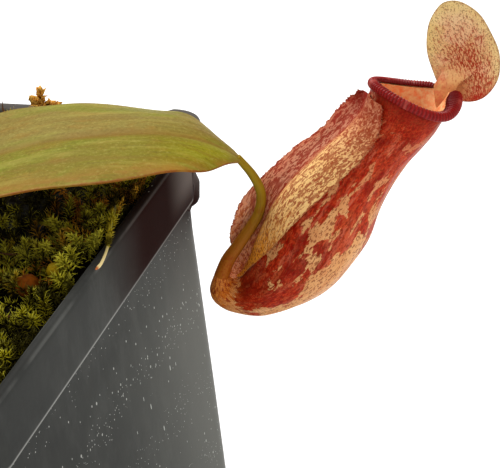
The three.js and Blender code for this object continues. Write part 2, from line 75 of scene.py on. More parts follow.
# Half width, corner radius and height, up the outside of the pot and down its inside
POT_PROFILE = [
    (55.2, 10.6, 0.0), (56.3, 11.4, 0.15), (57.0, 11.8, 0.7), (57.4, 12.0, 1.6), (58.6, 12.1, 37.0),
    (59.6, 12.2, 70.0), (60.55, 12.2, 101.6), (60.8, 12.2, 102.5), (61.6, 12.2, 102.85),
    (62.7, 12.2, 102.9), (63.25, 12.1, 103.3), (63.5, 11.9, 104.4), (64.2, 10.9, 111.0),
    (64.85, 9.9, 117.8), (64.9, 9.7, 119.0), (64.7, 9.5, 119.7), (64.2, 9.3, 120.0),
    (63.2, 8.6, 120.0), (62.5, 8.1, 119.7), (62.0, 7.8, 119.0), (61.7, 7.9, 113.0),
    (61.2, 8.2, 105.0), (60.4, 8.9, 104.0), (59.0, 10.3, 102.6), (58.7, 10.6, 101.0),
    (57.1, 10.5, 50.0), (55.6, 10.4, 4.4), (55.2, 10.2, 2.9), (54.2, 9.6, 2.4),
]
POT_OUTSIDE = 17  # steps of the profile that lie outside the pot
POT_CREASE = 38
WALL_BOW = 0.35
# The band's corners: how deep they are pinched, at what height and how far up and down; how much
# their tops stand up and their lower edge drops; and the least half width that the foot keeps
CORNER_WAIST = (2.5, 109.4, 2.3)
CORNER_FOOT = (1.4, 102.9, 2.5)
CORNER_RISE = 0.7
CORNER_DROP = 4.8
BAND_LEAST_HALF = 60.9
BED_HALF = 60.2
BED_CORNER = 8.2
DRAIN_PLACE = 34.0
DRAIN_RADIUS = 4.5
DRAIN_REACH = (-2.0, 4.2)

# Heights of the moss before its waves: its ground, its underside and the roots of its shoots
MOSS_LEVEL = 114.6
MOSS_UNDERSIDE = 109.3
MOSS_ROOTS = 113.4
TUFT_RISE = 1.1

# Tufts (above 0) and hollows (below 0) of the moss: place, reach and how strong their painted light or
# shade is, which also lifts or lowers the shoots' roots there
MOSS_TUFTS = [
    (44.5, 1.5, 4.5, 1.4), (56.5, 4.5, 3.0, 1.2), (49, -16, 4.5, 1.4), (46, 14, 4, 0.9),
    (60, 4.5, 3, 0.8), (59.5, -7.5, 3, 1.1), (51.6, 17.5, 3, 0.9), (41, -4.5, 4.5, 1.2),
    (33, 12, 7, -1.0), (36, 23, 5.5, -1.0), (53.5, -13, 2.8, -1.0), (52, 8.5, 2.8, -1.2),
    (58.5, -15.5, 2.8, -0.8), (60, 17.5, 4, -1.2), (57, -26, 6, -1.0), (-20, 30, 9, 0.8),
    (-35, -25, 9, 0.8), (20, -42, 9, 0.8), (-50, 5, 7, -0.9), (-5, -30, 7, -0.9),
]
# Orange-brown patches of the moss: place and reach
RUST_PATCHES = ((50, -9, 2.2), (48.5, 20.5, 5), (47.8, 7.6, 2.6), (30, -48, 5), (-40, 22, 6))
# The two beads that the photograph shows: place, radius and tone
SEEN_BEADS = ((50.2, -10.0, 117.6, 2.6, 0.1), (55.9, -7.4, 120.4, 1.6, 0.95))
# The twig end that it shows: place, heading and rise
SEEN_TWIG = (5.2, 60.8, 119.6, 2.4, 0.9)
# The strand over the rim
STRAND_LINE = [
    (56, 24, 117.5), (60.3, 15.2, 121.5), (63.4, 5.3, 121.5), (64.9, 1.1, 121.2),
    (65.8, -3.9, 120.9), (65.2, -5.9, 120.4),
]
# The sprig's shoots: place, heading and length
SPRIG_SHOOTS = [
    (19.4, 57, 116.0, 0.1, 0, 1, 8.0), (19.6, 57, 121.5, 0.14, 0, 1, 6.2),
    (19.8, 57, 122.0, -0.5, 0, 0.95, 3.4), (20.2, 57.2, 123.9, 1, 0, 0.14, 3.6),
]

# Stem: height and radius
STEM_RADII = [
    (84, 2.5), (100, 5.4), (110, 6), (112, 5.4), (117, 6), (118, 6.4), (121, 6.2), (124, 4.4),
    (127, 2.6),
]
# Young leaf: height above the stem's top, and radius
YOUNG_LEAF_STATIONS = [(0, 1.6), (5, 2.5), (13, 2.9), (21, 1.9), (26, 0.8), (31, 0.4)]
# Leaf blade: out, up, half width, rise of the far edge, rise of the near edge
BLADE_STATIONS = [
    (6.9, 119, 2.2, 0.4, 0.4), (12, 124, 3.6, 0.8, 0.8), (19, 129, 8.4, 1, 1.2),
    (29, 133.4, 16.8, 0.8, 1.4), (38, 135.3, 20.9, 0.4, 1), (49.3, 136.6, 20.4, -1, -0.6),
    (60.6, 136.4, 20.4, -3, -0.4), (71.6, 135.3, 18.2, -3.6, -0.9), (78.8, 133.3, 15.2, -2.6, -0.8),
    (84, 131, 10.8, -2.4, -1.4), (88, 128.2, 5.6, -1.6, -1), (90.6, 125.6, 1.4, -0.2, -0.2),
]
# Tendrils: out, up, radius
TENDRIL_STATIONS = [
    (90.4, 125.9, 0.85), (93.2, 120.8, 1.05), (94.5, 116.2, 1.15), (94.1, 112.4, 1.2),
    (92.8, 109.2, 1.3), (90.1, 105.5, 1.4), (87.2, 101.8, 1.5), (84.3, 98.1, 1.7),
    (82.1, 93.8, 1.85),
]
# Two young tendrils, which curl upward
SEEKING_STATIONS = [
    (90.4, 125.9, 0.85), (94.2, 122.6, 0.95), (98.2, 122, 0.91), (102, 123.8, 0.86),
    (104, 127.6, 0.82), (102.8, 131.2, 0.78), (99.4, 132, 0.73), (97.6, 129.6, 0.6),
]
OPEN_PITCHERS = (1, 4)
# Pitcher: out and up of the front line, out and up of the back line, half width
CUP_STATIONS = [
    (83.9, 93.3, 80.5, 94.7, 1.9), (84.9, 92.5, 79.5, 89.6, 3.1), (86.9, 93.2, 83.2, 84, 5.2),
    (89.6, 97.6, 92.3, 81.8, 8.3), (92.9, 104.9, 105.6, 86.4, 11.3),
    (99.2, 115.1, 117, 100.4, 12.2), (108.4, 123.6, 124.9, 112.1, 10.5),
    (115.6, 129.4, 130.6, 121.4, 9), (120, 133.6, 135.8, 128.2, 8.8),
    (122.6, 138.2, 141, 133.6, 8.5),
]
CUP_WALL = 1.0
# The length and the radius that the pitchers' patterns are laid out on
CUP_LENGTH = 78.0
CUP_RADIUS = 9.5
# How far the back of the pitcher swells (or draws in), at even steps from its base to its mouth
CUP_SWELL = [0, 0.5, 1.0, 0.5, 0.0, -0.3, -0.7, -0.5, 0.7, 0.9, -0.6, -0.9, -0.4, 0.5, 0.7, 0.1, 0]
CUP_INSIDE_START = 0.24
MOUTH_SAG = 2.2
# The near side of the mouth rises towards the front and dips towards the back: how far, then the
# angle that it is centred on and its spread
MOUTH_RISE = (2.6, 124, 68)
MOUTH_DIP = (1.5, 65, 38)
MOUTH_INWARD = 0.7
# Near wing: place along the pitcher, angle of its free edge, how far it stands off
NEAR_WING = [
    (0.14, 178, 0.7), (0.2, 171, 0.9), (0.27, 165, 0.9), (0.33, 158, 0.9), (0.38, 151, 0.9),
    (0.44, 143, 1), (0.54, 131, 1.5), (0.62, 125, 1.9), (0.71, 119, 1.8), (0.8, 117, 1.6),
    (0.89, 125, 1.4), (0.965, 136, 1.1),
]
NEAR_WING_ROOT = 178
# Far wing: place along the pitcher, out and up of its free edge
FAR_WING = [
    (0.13, 83.6, 93.4), (0.18, 84.0, 94.8), (0.24, 84.4, 96.6), (0.31, 85.5, 99.3),
    (0.35, 85.5, 102.8), (0.4, 86.7, 106.3), (0.47, 89.2, 111.9), (0.53, 93.9, 116.6),
    (0.59, 98.6, 120.9), (0.65, 103.8, 124.6), (0.72, 109.5, 128.2), (0.81, 114.8, 133.2),
    (0.88, 117.8, 135.9), (0.94, 120.2, 136.8),
]
FAR_WING_ROOT = 183
FAR_WING_SIDE = 3.2
# Looks of the near and the far wing: name, the ground's two colours, the dashes' colour, how few
# dashes, how wide the pink root, their stretch, how dark the top end, how gold the low end
WING_LOOKS = (
    ("near_wing_skin", (246, 182, 106), (255, 220, 150), (152, 44, 18), 0.6, 0.14, 0.6, 0.3, 0.95),
    ("far_wing_skin", (240, 128, 96), (255, 208, 168), (172, 34, 24), 0.6, 0.1, 0.42, 0.7, 0.3),
)
# The lip's section, outward and upward from the cup's rim
LIP_SECTION = [
    (-1.0, 0.35), (-1.25, 0.65), (-0.75, 1.05), (0.1, 1.2), (0.8, 0.88), (1.05, 0.3), (0.98, -0.6),
    (0.6, -0.6), (0.3, 0.05),
]
# Where the lid's neck stands on the mouth and how wide it is; then the lid: the way it faces, how
# far it leans back, its middle and half sizes, its roll, how far it is set back, the gap under its
# foot and how hollow it is
NECK_ANGLE = -30
NECK_HALF_ANGLE = 20
LID_FACE = -50
LID_LEAN = 15
LID_MIDDLE = (2.2, 7.9)
LID_HALF = (8.7, 11.6)
LID_ROLL = 26
LID_SETBACK = 3.3
LID_FOOT_GAP = 1.15
LID_HOLLOW = 1.3
# The lid's neck: across, up, half width, half thickness, set back
NECK_STATIONS = [
    (0, -4.6, 0.8, 0.15, -2.2), (0, -2.6, 1.8, 0.35, -1.35), (0, -0.9, 2.8, 0.5, -0.25),
    (0, 0, 2.8, 0.5, 0.15), (0.4, 1.2, 2.9, 0.45, 1.1), (1.1, 2.6, 3.6, 0.35, 2.25),
    (1.6, 4.0, 4.0, 0.25, 2.85), (1.9, 5.6, 3.4, 0.1, 3.12),
]
# The closed pitcher: out, up, radius
BUD_STATIONS = [
    (82.1, 93.8, 1.7), (81.8, 91.2, 2.6), (83.8, 88.4, 3.4), (87.8, 88.6, 4.1), (91.2, 93.6, 4.7),
    (94.6, 99.4, 4.2), (97.4, 104.6, 3.2), (99.2, 107.4, 1.4),
]

# The photograph's camera: place in millimetres; turn, downward pitch and roll in degrees; lens
CAMERA_PLACE = (182.91, -185.92, 260.95)
CAMERA_ANGLES = (24.240, 32.952, 8.982)
CAMERA_LENS = 86.8
# Lights: name, size, place and what they point at, in metres
LIGHTS = (
    ("key", 0.55, (-0.25, 0.35, 0.75), (0.06, 0.0, 0.12)),
    ("fill", 0.7, (0.75, -0.45, 0.5), (0.06, 0.0, 0.1)),
)


# Shapes: points and faces in millimetres, and the pieces made of them


def bell(x, spread, middle=0.0):
    """A bell curve: 1 in the middle, and 0.37 at the spread to each side of it."""
    return np.exp(-(((x - middle) / spread) ** 2))


def ramp(x, start, length):
    """Straight from 0 at the start to 1 a length further on, and level beyond both."""
    return np.clip((x - start) / length, 0, 1)


def fade(x, middle, width):
    """A smooth step from 1 to 0 round the middle."""
    return 1 / (1 + np.exp((x - middle) / width))


def round_angles(count):
    """Even angles round a circle, without the last, which would repeat the first."""
    return np.linspace(0, TURN, count, endpoint=False)


def turned(x, y, degrees):
    """The x and y of points after a turn."""
    c, s = math.cos(degrees * RAD), math.sin(degrees * RAD)
    return x * c - y * s, x * s + y * c


def capped(rows, first, last):
    """Values of a loft's ring points, with those of its two end points after them."""
    return np.concatenate([rows, [first, last]])


def smooth_rows(rows, t):
    """A smooth curve through evenly spaced rows: on each span, the cubic that has the rows as its ends
    and half the difference of the neighbouring rows as its slopes. t runs from 0 to 1."""
    rows = np.asarray(rows, float)
    last = len(rows) - 1
    place = np.clip(np.asarray(t, float), 0, 1) * last
    i = np.minimum(place.astype(int), last - 1)
    w = (place - i)[..., None]
    a, b = rows[i], rows[i + 1]
    before, after = rows[np.maximum(i - 1, 0)], rows[np.minimum(i + 2, last)]
    m1 = np.where((i > 0)[..., None], (b - before) / 2, b - a)
    m2 = np.where((i + 2 <= last)[..., None], (after - a) / 2, b - a)
    return (
        (2 * w**3 - 3 * w**2 + 1) * a
        + (w**3 - 2 * w**2 + w) * m1
        + (3 * w**2 - 2 * w**3) * b
        + (w**3 - w**2) * m2
    )


def unit(vectors):
    """Each vector divided by its own length."""
    return vectors / np.maximum(np.linalg.norm(vectors, axis=-1, keepdims=True), 1e-9)


def ripple(points, size, seed=0.0):
    """A soft bumpy value from -1 to 1 at each point: the mean of five sine waves of different
    directions, whose wavelengths are near size."""
    rng = np.random.default_rng(int(seed * 10) + 5)
    total = np.zeros(points.shape[:-1])
    for _ in range(5):
        direction = unit(rng.normal(size=3))
        wave = TURN / (size * rng.uniform(0.6, 1.5))
        total += np.sin(points @ direction * wave + rng.uniform(0, TURN))
    return total / 2.6


def grid_quads(rows, columns, round_=False, rows_round=False):
    """The four corner numbers of each face of a grid, closed round its columns or rows if asked."""
    i = np.arange(rows if rows_round else rows - 1)[:, None]
    j = np.arange(columns if round_ else columns - 1)[None, :]
    below, beside = (i + 1) % rows, (j + 1) % columns
    corners = np.broadcast_arrays(
        i * columns + j, i * columns + beside, below * columns + beside, below * columns + j
    )
    return np.stack(corners, -1).reshape(-1, 4)


def loft(rings):
    """Closed body through rings of equal count: each ring's points join the next ring's, and a fan
    to the mean of its points closes each end ring."""
    rows, columns = rings.shape[:2]
    points = np.concatenate([rings.reshape(-1, 3), rings[:1].mean(1), rings[-1:].mean(1)])
    j = np.arange(columns)
    k = (j + 1) % columns
    end = (rows - 1) * columns
    caps = np.concatenate(
        [
            np.stack([np.full(columns, rows * columns), k, j], -1),
            np.stack([np.full(columns, rows * columns + 1), end + j, end + k], -1),
        ]
    )
    return points, [grid_quads(rows, columns, True), caps]


def shell(grid, above, below):
    """Thin closed sheet: the grid's points moved along the grid's own normal by above, the same
    points moved the other way by below, and a wall round the border between the two."""
    rows, columns = grid.shape[:2]
    normal = unit(np.cross(np.gradient(grid, axis=0), np.gradient(grid, axis=1)))
    above, below = (np.broadcast_to(v, (rows, columns))[..., None] for v in (above, below))
    points = np.concatenate([grid + normal * above, grid - normal * below]).reshape(-1, 3)
    count = rows * columns
    quads = grid_quads(rows, columns)
    number = np.arange(count).reshape(rows, columns)
    border = np.concatenate([number[0, :-1], number[:-1, -1], number[-1, :0:-1], number[:0:-1, 0]])
    after = np.roll(border, -1)
    walls = np.stack([after, border, border + count, after + count], -1)
    return points, [quads, quads[:, ::-1] + count, walls]


def spikes(roots, tips, widths):
    """Three-sided spikes: a small triangle of the given half width round each root, joined to its
    tip."""
    along = unit(tips - roots)
    across = unit(np.cross(along, np.array([0.31, 0.2, 0.93])))
    other = np.cross(along, across)
    thirds = (0, TURN / 3, 2 * TURN / 3)
    ring = [roots + widths[:, None] * (across * math.cos(a) + other * math.sin(a)) for a in thirds]
    points = np.stack([*ring, tips], 1).reshape(-1, 3)
    base = 4 * np.arange(len(roots))[:, None, None]
    faces = base + np.array([[0, 2, 1], [0, 1, 3], [1, 2, 3], [2, 0, 3]])
    return points, [faces.reshape(-1, 3)]


def lances(roots, tips, widths, bends):
    """Pointed leaflets: a root and a tip joined through a flat triangle at 0.4 of the length, which
    is as wide as given, has a low ridge, and is moved by the bend."""
    along = unit(tips - roots)
    up = unit(bends - (bends * along).sum(-1, keepdims=True) * along + 1e-6)
    side = np.cross(along, up)
    middle = roots * 0.6 + tips * 0.4 + bends
    half = widths[:, None] / 2
    corners = [middle + side * half, middle - side * half, middle + up * half * 0.5]
    points = np.stack([roots, *corners, tips], 1)
    base = LEAFLET_POINTS * np.arange(len(roots))[:, None, None]
    faces = base + np.array([[0, 2, 1], [0, 3, 2], [0, 1, 3], [4, 1, 2], [4, 2, 3], [4, 3, 1]])
    return points.reshape(-1, 3), [faces.reshape(-1, 3)]


def pipe(line, forward, radius, count):
    """Closed round tube: at each point of the line a circle of its radius, square to forward."""
    side = unit(np.cross(forward, (0, 0, 1.0)))
    over = np.cross(side, forward)
    angle = round_angles(count)[:, None]
    circle = side[:, None] * np.cos(angle) + over[:, None] * np.sin(angle)
    return loft(line[:, None] + radius[:, None, None] * circle)


def joined(*bodies):
    """Several (points, faces) bodies as one, with the later ones' corner numbers moved up."""
    points, faces, start = [], [], 0
    for body_points, body_faces in bodies:
        points.append(body_points)
        faces.extend(np.asarray(f) + start for f in body_faces)
        start += len(body_points)
    return np.concatenate(points), faces


def outward(points, faces):
    """The faces of a closed body, all turned round if the body's signed volume is negative."""
    volume = 0.0
    for group in faces:
        for k in range(1, group.shape[1] - 1):
            a, b, c = points[group[:, 0]], points[group[:, k]], points[group[:, k + 1]]
            volume += (a * np.cross(b, c)).sum()
    return faces if volume > 0 else [group[:, ::-1] for group in faces]


def make_piece(name, body, finish, values=None, replaces=(), crease=40):
    """A mesh object from (points, faces) in millimetres. values holds numbers per point, which its
    material reads. The piece rides on the part, and stands for the solids that it replaces."""
    points, faces = body
    faces = outward(points, [np.asarray(f) for f in faces])
    mesh = bpy.data.meshes.new(name)
    mesh.vertices.add(len(points))
    mesh.vertices.foreach_set("co", (points * MM).astype(np.float32).ravel())
    sizes = np.concatenate([np.full(len(f), f.shape[1]) for f in faces])
    mesh.loops.add(int(sizes.sum()))
    mesh.loops.foreach_set("vertex_index", np.concatenate([f.ravel() for f in faces]).astype(np.int32))
    mesh.polygons.add(len(sizes))
    mesh.polygons.foreach_set("loop_start", (np.cumsum(sizes) - sizes).astype(np.int32))
    for key, value in (values or {}).items():
        value = np.asarray(value, np.float32)
        kind = "FLOAT_VECTOR" if value.ndim == 2 else "FLOAT"
        field = mesh.attributes.new(key, kind, "POINT")
        field.data.foreach_set("vector" if value.ndim == 2 else "value", value.ravel())
    mesh.update(calc_edges=True)
    mesh.validate()
    mesh.shade_smooth()
    if crease < SMOOTH:
        mesh.set_sharp_from_angle(angle=crease * RAD)
    mesh.materials.append(finish)
    piece = bpy.data.objects.new(name, mesh)
    bpy.context.scene.collection.objects.link(piece)
    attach(piece, "root")
    if replaces:
        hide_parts(*replaces)
    return piece


def stand(points, number):
    """A leaf's own (out, side, up) points in the part's frame: scaled and lifted about the blade's
    foot, then turned round the stem."""
    turn, size, lift = LEAVES[number]
    out, side, up = np.moveaxis(points - LEAF_FOOT, -1, 0)
    out, up = turned(out, up, lift)
    out, side, up = np.moveaxis(np.stack([out, side, up], -1) * size + LEAF_FOOT, -1, 0)
    out, side = turned(out, side, turn)
    return np.stack([out, side, up], -1)


def square_ring(half, radius, height, corner_steps=20, side_steps=40):
    """A rounded square: a quarter circle of the given radius at each corner, and straight sides
    divided by half a cosine wave, so finely near the corners. Returns the points and, per point,
    the angle from the nearest corner's middle, carried on along the sides at 4 per millimetre."""
    parts, corner = [], []
    for quarter in range(4):
        angle = quarter * 90 + np.linspace(0, 90, corner_steps + 1)
        cx = (half - radius) * (1 if quarter in (0, 3) else -1)
        cy = (half - radius) * (1 if quarter < 2 else -1)
        arc = np.stack([cx + radius * np.cos(angle * RAD), cy + radius * np.sin(angle * RAD)], -1)
        heading = (quarter + 1) * 90 * RAD
        share = (1 - np.cos(np.linspace(0, math.pi, side_steps + 1)[1:-1, None])) / 2
        run = 2 * (half - radius) * share
        side = arc[-1] + run * np.array([-math.sin(heading), math.cos(heading)])
        parts += [arc, side]
        corner += [np.abs(angle - quarter * 90 - 45), 45 + np.minimum(run, run[::-1])[:, 0] * 4]
    ring = np.concatenate(parts)
    return np.concatenate([ring, np.full((len(ring), 1), float(height))], 1), np.concatenate(corner)


def tube(stations, rows, columns, number):
    """Round tube in the leaf's mid plane: at each station a circle square to the line's own
    direction. Returns the rings, in the part's frame, and the place along each ring."""
    t = np.linspace(0, 1, rows)
    out, up, radius = (column[:, None] for column in smooth_rows(stations, t).T)
    ahead = smooth_rows(stations, t + 0.01)[:, :2] - smooth_rows(stations, t - 0.01)[:, :2]
    travel = np.arctan2(ahead[:, 1], ahead[:, 0])[:, None]
    angle = round_angles(columns)[None, :]
    lift, side = radius * np.cos(angle), radius * np.sin(angle)
    rings = np.stack([out - lift * np.sin(travel), side, up + lift * np.cos(travel)], -1)
    return stand(rings, number), np.broadcast_to(t[:, None], (rows, columns))


def tube_grain(along, length, radius):
    """Pattern place on a tube: the distance along it and a circle round it, then its end points'."""
    rows, columns = along.shape
    circle = [np.tile(wave(round_angles(columns)), rows) * radius for wave in (np.cos, np.sin)]
    return capped(np.stack([along.ravel() * length, *circle], -1), (0, 0, 0), (length, 0, 0))


def on_cup(along, angle, off=0.0):
    """A point of the pitcher in its leaf's frame. Each cross-section is an oval between the front
    line (angle 180) and the back line (angle 0), as wide as its station, and the mouth sags at its
    sides, while its near side rises towards the front by one bell curve and dips towards the back
    by another. off moves the point out from the surface."""
    along, angle, off = np.broadcast_arrays(*(np.asarray(v, float) for v in (along, angle, off)))
    row = smooth_rows(CUP_STATIONS, along)
    front, back, wide = row[..., 0:2], row[..., 2:4], row[..., 4]
    half, middle = (back - front) / 2, (back + front) / 2
    depth = np.linalg.norm(half, axis=-1)
    c, s = np.cos(angle * RAD), np.sin(angle * RAD)
    share = (depth + off) / depth * c
    mouth = np.maximum(0, (along - 0.8) / 0.2) ** 2
    near = (angle + 90) % 360 - 90
    rise, dip = (mouth * bell(near, spread, place) for _, place, spread in (MOUTH_RISE, MOUTH_DIP))
    out = middle[..., 0] + half[..., 0] * share + dip * MOUTH_INWARD
    side = (rise * MOUTH_INWARD - wide - off) * s
    up = middle[..., 1] + half[..., 1] * share - MOUTH_SAG * mouth * s * s
    return np.stack([out, side, up + rise * MOUTH_RISE[0] - dip * MOUTH_DIP[0]], -1)


# Materials


def linear(red, green, blue):
    """A colour given as 0 to 255 screen values, as Blender's own linear numbers."""
    made = [((v / 255 + 0.055) / 1.055) ** 2.4 if v > 10 else v / 255 / 12.92 for v in (red, green, blue)]
    return (*made, 1.0)


class Finish:
    """A node material being made: a Principled shader and short ways to add and join nodes. It holds
    the colour made so far, which each tint covers a part of."""

    def __init__(self, name, **sockets):
        self.colour = None
        self.material = bpy.data.materials.new(name)
        self.material.use_nodes = True
        self.tree = self.material.node_tree
        self.tree.nodes.clear()
        self.shader = self.add("ShaderNodeBsdfPrincipled")
        output = self.add("ShaderNodeOutputMaterial")
        self.tree.links.new(self.shader.outputs[0], output.inputs[0])
        for key, value in sockets.items():
            self.shader.inputs[key.replace("_", " ")].default_value = value

    def add(self, kind, inputs=None, **settings):
        made = self.tree.nodes.new(kind)
        for key, value in settings.items():
            setattr(made, key, value)
        for key, value in (inputs or {}).items():
            self.put(made.inputs[key], value)
        return made

    def put(self, socket, value):
        if isinstance(value, bpy.types.NodeSocket):
            self.tree.links.new(value, socket)
        else:
            socket.default_value = value

    def math(self, operation, a, b=0.0, c=0.0, clamp=False):
        made = self.add("ShaderNodeMath", {0: a, 1: b, 2: c}, operation=operation, use_clamp=clamp)
        return made.outputs[0]

    def times(self, first, *others):
        for other in others:
            first = self.math("MULTIPLY", first, other)
        return first

    def plus(self, first, *others):
        for other in others:
            first = self.math("ADD", first, other)
        return first

    def scaled(self, value, factor, added=0.0, clamp=False):
        """The value times a factor, and something added."""
        return self.math("MULTIPLY_ADD", value, factor, added, clamp)

    def absolute(self, value):
        return self.math("ABSOLUTE", value)

    def larger(self, a, b):
        return self.math("MAXIMUM", a, b)

    def rest(self, value):
        """What is left of 1."""
        return self.math("SUBTRACT", 1.0, value)

    def rise(self, value, low, high):
        """0 below low and 1 above high, with a smooth step between; falls if high is the lower."""
        inputs = {"Value": value, "From Min": low, "From Max": high}
        return self.add("ShaderNodeMapRange", inputs, interpolation_type="SMOOTHSTEP").outputs[0]

    def mix(self, share, a, b):
        return self.add("ShaderNodeMix", {0: share, 6: a, 7: b}, data_type="RGBA").outputs[2]

    def blend(self, share, low, high):
        """From one screen colour to another."""
        return self.mix(share, linear(*low), linear(*high))

    def over(self, base, share, screen, amount=None):
        """A colour with a share of a screen colour over it, times an amount if one is given."""
        share = share if amount is None else self.times(share, amount)
        return self.mix(share, base, linear(*screen))

    def cover(self, share, colour):
        """A share of another colour over the colour made so far."""
        self.colour = self.mix(share, self.colour, colour)

    def tint(self, share, screen, amount=None):
        """A share of a screen colour over the colour made so far, as above."""
        self.colour = self.over(self.colour, share, screen, amount)

    def value(self, name):
        """A number that the piece holds per point."""
        return self.add("ShaderNodeAttribute", attribute_name=name).outputs["Fac"]

    def vector(self, name, scale=(1, 1, 1)):
        """A vector that the piece holds per point, stretched."""
        held = self.add("ShaderNodeAttribute", attribute_name=name).outputs["Vector"]
        return self.add("ShaderNodeMapping", {"Vector": held, "Scale": scale}).outputs[0]

    def place(self, scale=(1, 1, 1)):
        """The point on the object, in millimetres, stretched."""
        where = self.add("ShaderNodeTexCoord").outputs["Object"]
        scale = [s / MM for s in scale]
        return self.add("ShaderNodeMapping", {"Vector": where, "Scale": scale}).outputs[0]

    def axis(self, vector, name):
        return self.add("ShaderNodeSeparateXYZ", {0: vector}).outputs[name]

    def noise(self, where, size, detail=3.0, roughness=0.55, distortion=0.0):
        """Cloudy noise from 0 to 1 whose blobs are about size across."""
        inputs = {
            "Vector": where,
            "Scale": 1 / size,
            "Detail": detail,
            "Roughness": roughness,
            "Distortion": distortion,
        }
        return self.add("ShaderNodeTexNoise", inputs).outputs["Fac"]

    def grained(self, scale, size, *others):
        """Cloudy noise in the piece's own pattern place, stretched."""
        return self.noise(self.vector("grain", scale), size, *others)

    def specks(self, where, size, radius, kept, by):
        """Round dots: one in each cell of the given size, kept where the cell's own random number is
        over the threshold, which by lowers or raises."""
        cells = self.add("ShaderNodeTexVoronoi", {"Vector": where, "Scale": 1 / size})
        chance = self.plus(self.axis(cells.outputs["Color"], "X"), by)
        big = self.axis(cells.outputs["Color"], "Y")
        reach = self.scaled(big, radius / size * 0.8, radius / size * 0.5)
        near = self.math("LESS_THAN", cells.outputs["Distance"], reach)
        return self.times(near, self.math("GREATER_THAN", chance, kept))

    def bump(self, height, distance, strength=1.0, normal=None):
        """Relief: height (0 to 1) over the given distance in millimetres."""
        inputs = {"Height": height, "Distance": distance * MM, "Strength": strength}
        if normal is not None:
            inputs["Normal"] = normal
        return self.add("ShaderNodeBump", inputs).outputs[0]

    def done(self, roughness, normal=None):
        """The material, with its colour, roughness and relief joined to the shader."""
        for key, value in (("Base Color", self.colour), ("Roughness", roughness), ("Normal", normal)):
            if value is not None:
                self.put(self.shader.inputs[key], value)
        return self.material


def pot_plastic(settings):
    """Dark satin plastic with a faint moulded grain, dust and dried water specks below the band, painted
    shade towards -y and painted light on the wall towards +y, a painted dark reflection with less gloss
    on the band's +y half and a painted shadow under the band by its corner, a painted sheen on a ridge
    beside the band's crease, a painted highlight down the wall's corner, and painted highlights along
    the band's edges that fade at the corner."""
    f = Finish("pot_plastic", IOR=1.15)
    where = f.place()
    height, y = f.value("level"), f.axis(where, "Y")
    cloud = f.noise(where, 14, 4)
    fine = f.noise(where, 0.9, 3)
    dust = f.noise(f.place((1, 1, 0.35)), 5.5, 5, 0.65)
    f.colour = f.blend(cloud, (58, 59, 57), (73, 74, 70))
    f.tint(f.rise(dust, 0.4, 0.75), (92, 93, 89), 0.35)
    # Painted shade and light: the whole pot darker towards -y, and the wall below the band lighter towards
    # its top and towards +y.
    f.tint(f.rise(y, 12, -58), (46, 46, 45), 0.5)
    wall = f.rise(height, 101.5, 97)
    lit = f.scaled(f.rise(height, 101, 70), 0.65, 0.35)
    f.tint(f.times(wall, lit, f.rise(y, -8, 66)), (112, 112, 106))
    side = f.scaled(y, 0.0025, -0.06)
    clumps = f.scaled(f.noise(where, 8, 3), 0.7, side)
    drops = f.specks(f.place((1, 1, 0.6)), 1.5, 0.21, settings.speck_threshold, clumps)
    dots = f.specks(f.place((1.13, 0.97, 0.8)), 0.9, 0.13, settings.speck_threshold, clumps)
    streaks = f.specks(f.place((1, 1, 0.25)), 2.2, 0.2, settings.speck_threshold + 0.08, clumps)
    band = f.times(f.rise(height, 103.5, 105), f.rise(y, -10, 20))
    dried = f.times(streaks, f.plus(wall, f.times(band, 0.8)))
    white = f.larger(f.times(f.larger(drops, dots), wall), dried)
    marks = f.times(white, f.rise(dust, 0.2, 0.5))
    # Painted dark reflection and shade: the band darker on its +y half, and a painted shadow on the wall
    # under the band by its corner (below), both broken up by noise. The gloss is lowered there as well.
    painted_dark_reflection = f.times(f.rise(height, 100.8, 102), f.rise(y, -6, 20))
    below = f.times(f.rise(height, 90, 102), f.rise(y, 25, 52), 0.6)
    painted_dark_reflection = f.times(f.larger(painted_dark_reflection, below), f.rise(f.noise(where, 9, 3), 0.0, 0.34))
    f.put(f.shader.inputs["Specular IOR Level"], f.scaled(painted_dark_reflection, -0.085, 0.1))
    f.tint(painted_dark_reflection, (38, 18, 14), 0.98)
    # Painted sheen: a lighter ridge on the band beside the corner's crease.
    sheen = f.times(f.rise(y, 32, 47), f.rise(height, 103, 112))
    ridge = f.rise(f.absolute(f.plus(y, -49.5)), 0.4, 1.6)
    f.tint(f.times(sheen, ridge, 0.75), (124, 119, 113))
    # Painted highlight down the wall's corner at +x +y, below the band.
    bend = f.times(f.rise(y, 49, 57), f.rise(f.axis(where, "X"), 47, 54), f.rise(height, 99, 88))
    f.tint(bend, (172, 172, 168), 0.5)
    f.tint(marks, (196, 197, 190), 0.8)
    # Painted highlights: a line along the band's lower edge that fades at the corner, and a faint patchy
    # one along the rim's rounded top, weaker where the band is painted dark.
    edge = f.times(f.rise(height, 101.9, 102.5), f.rise(height, 104.2, 103.5))
    edge = f.times(edge, f.rise(y, 52, 47))
    lip = f.times(f.rise(height, 118.9, 119.3), f.rise(height, 120.0, 119.6))
    painted_edge_highlight = f.plus(f.times(edge, 0.6), f.times(lip, f.times(f.rise(cloud, 0.35, 0.6), 0.13)))
    f.tint(painted_edge_highlight, (178, 178, 172), f.scaled(painted_dark_reflection, -0.3, 1.0))
    land = f.rise(height, 119.6, 119.9)
    f.tint(land, (40, 38, 36), 0.35)
    rough = f.scaled(fine, 0.2, 0.3)
    rough = f.plus(rough, f.times(white, 0.3))
    normal = f.bump(fine, 0.05, 0.5)
    return f.done(rough, f.bump(white, 0.12, 0.6, normal))


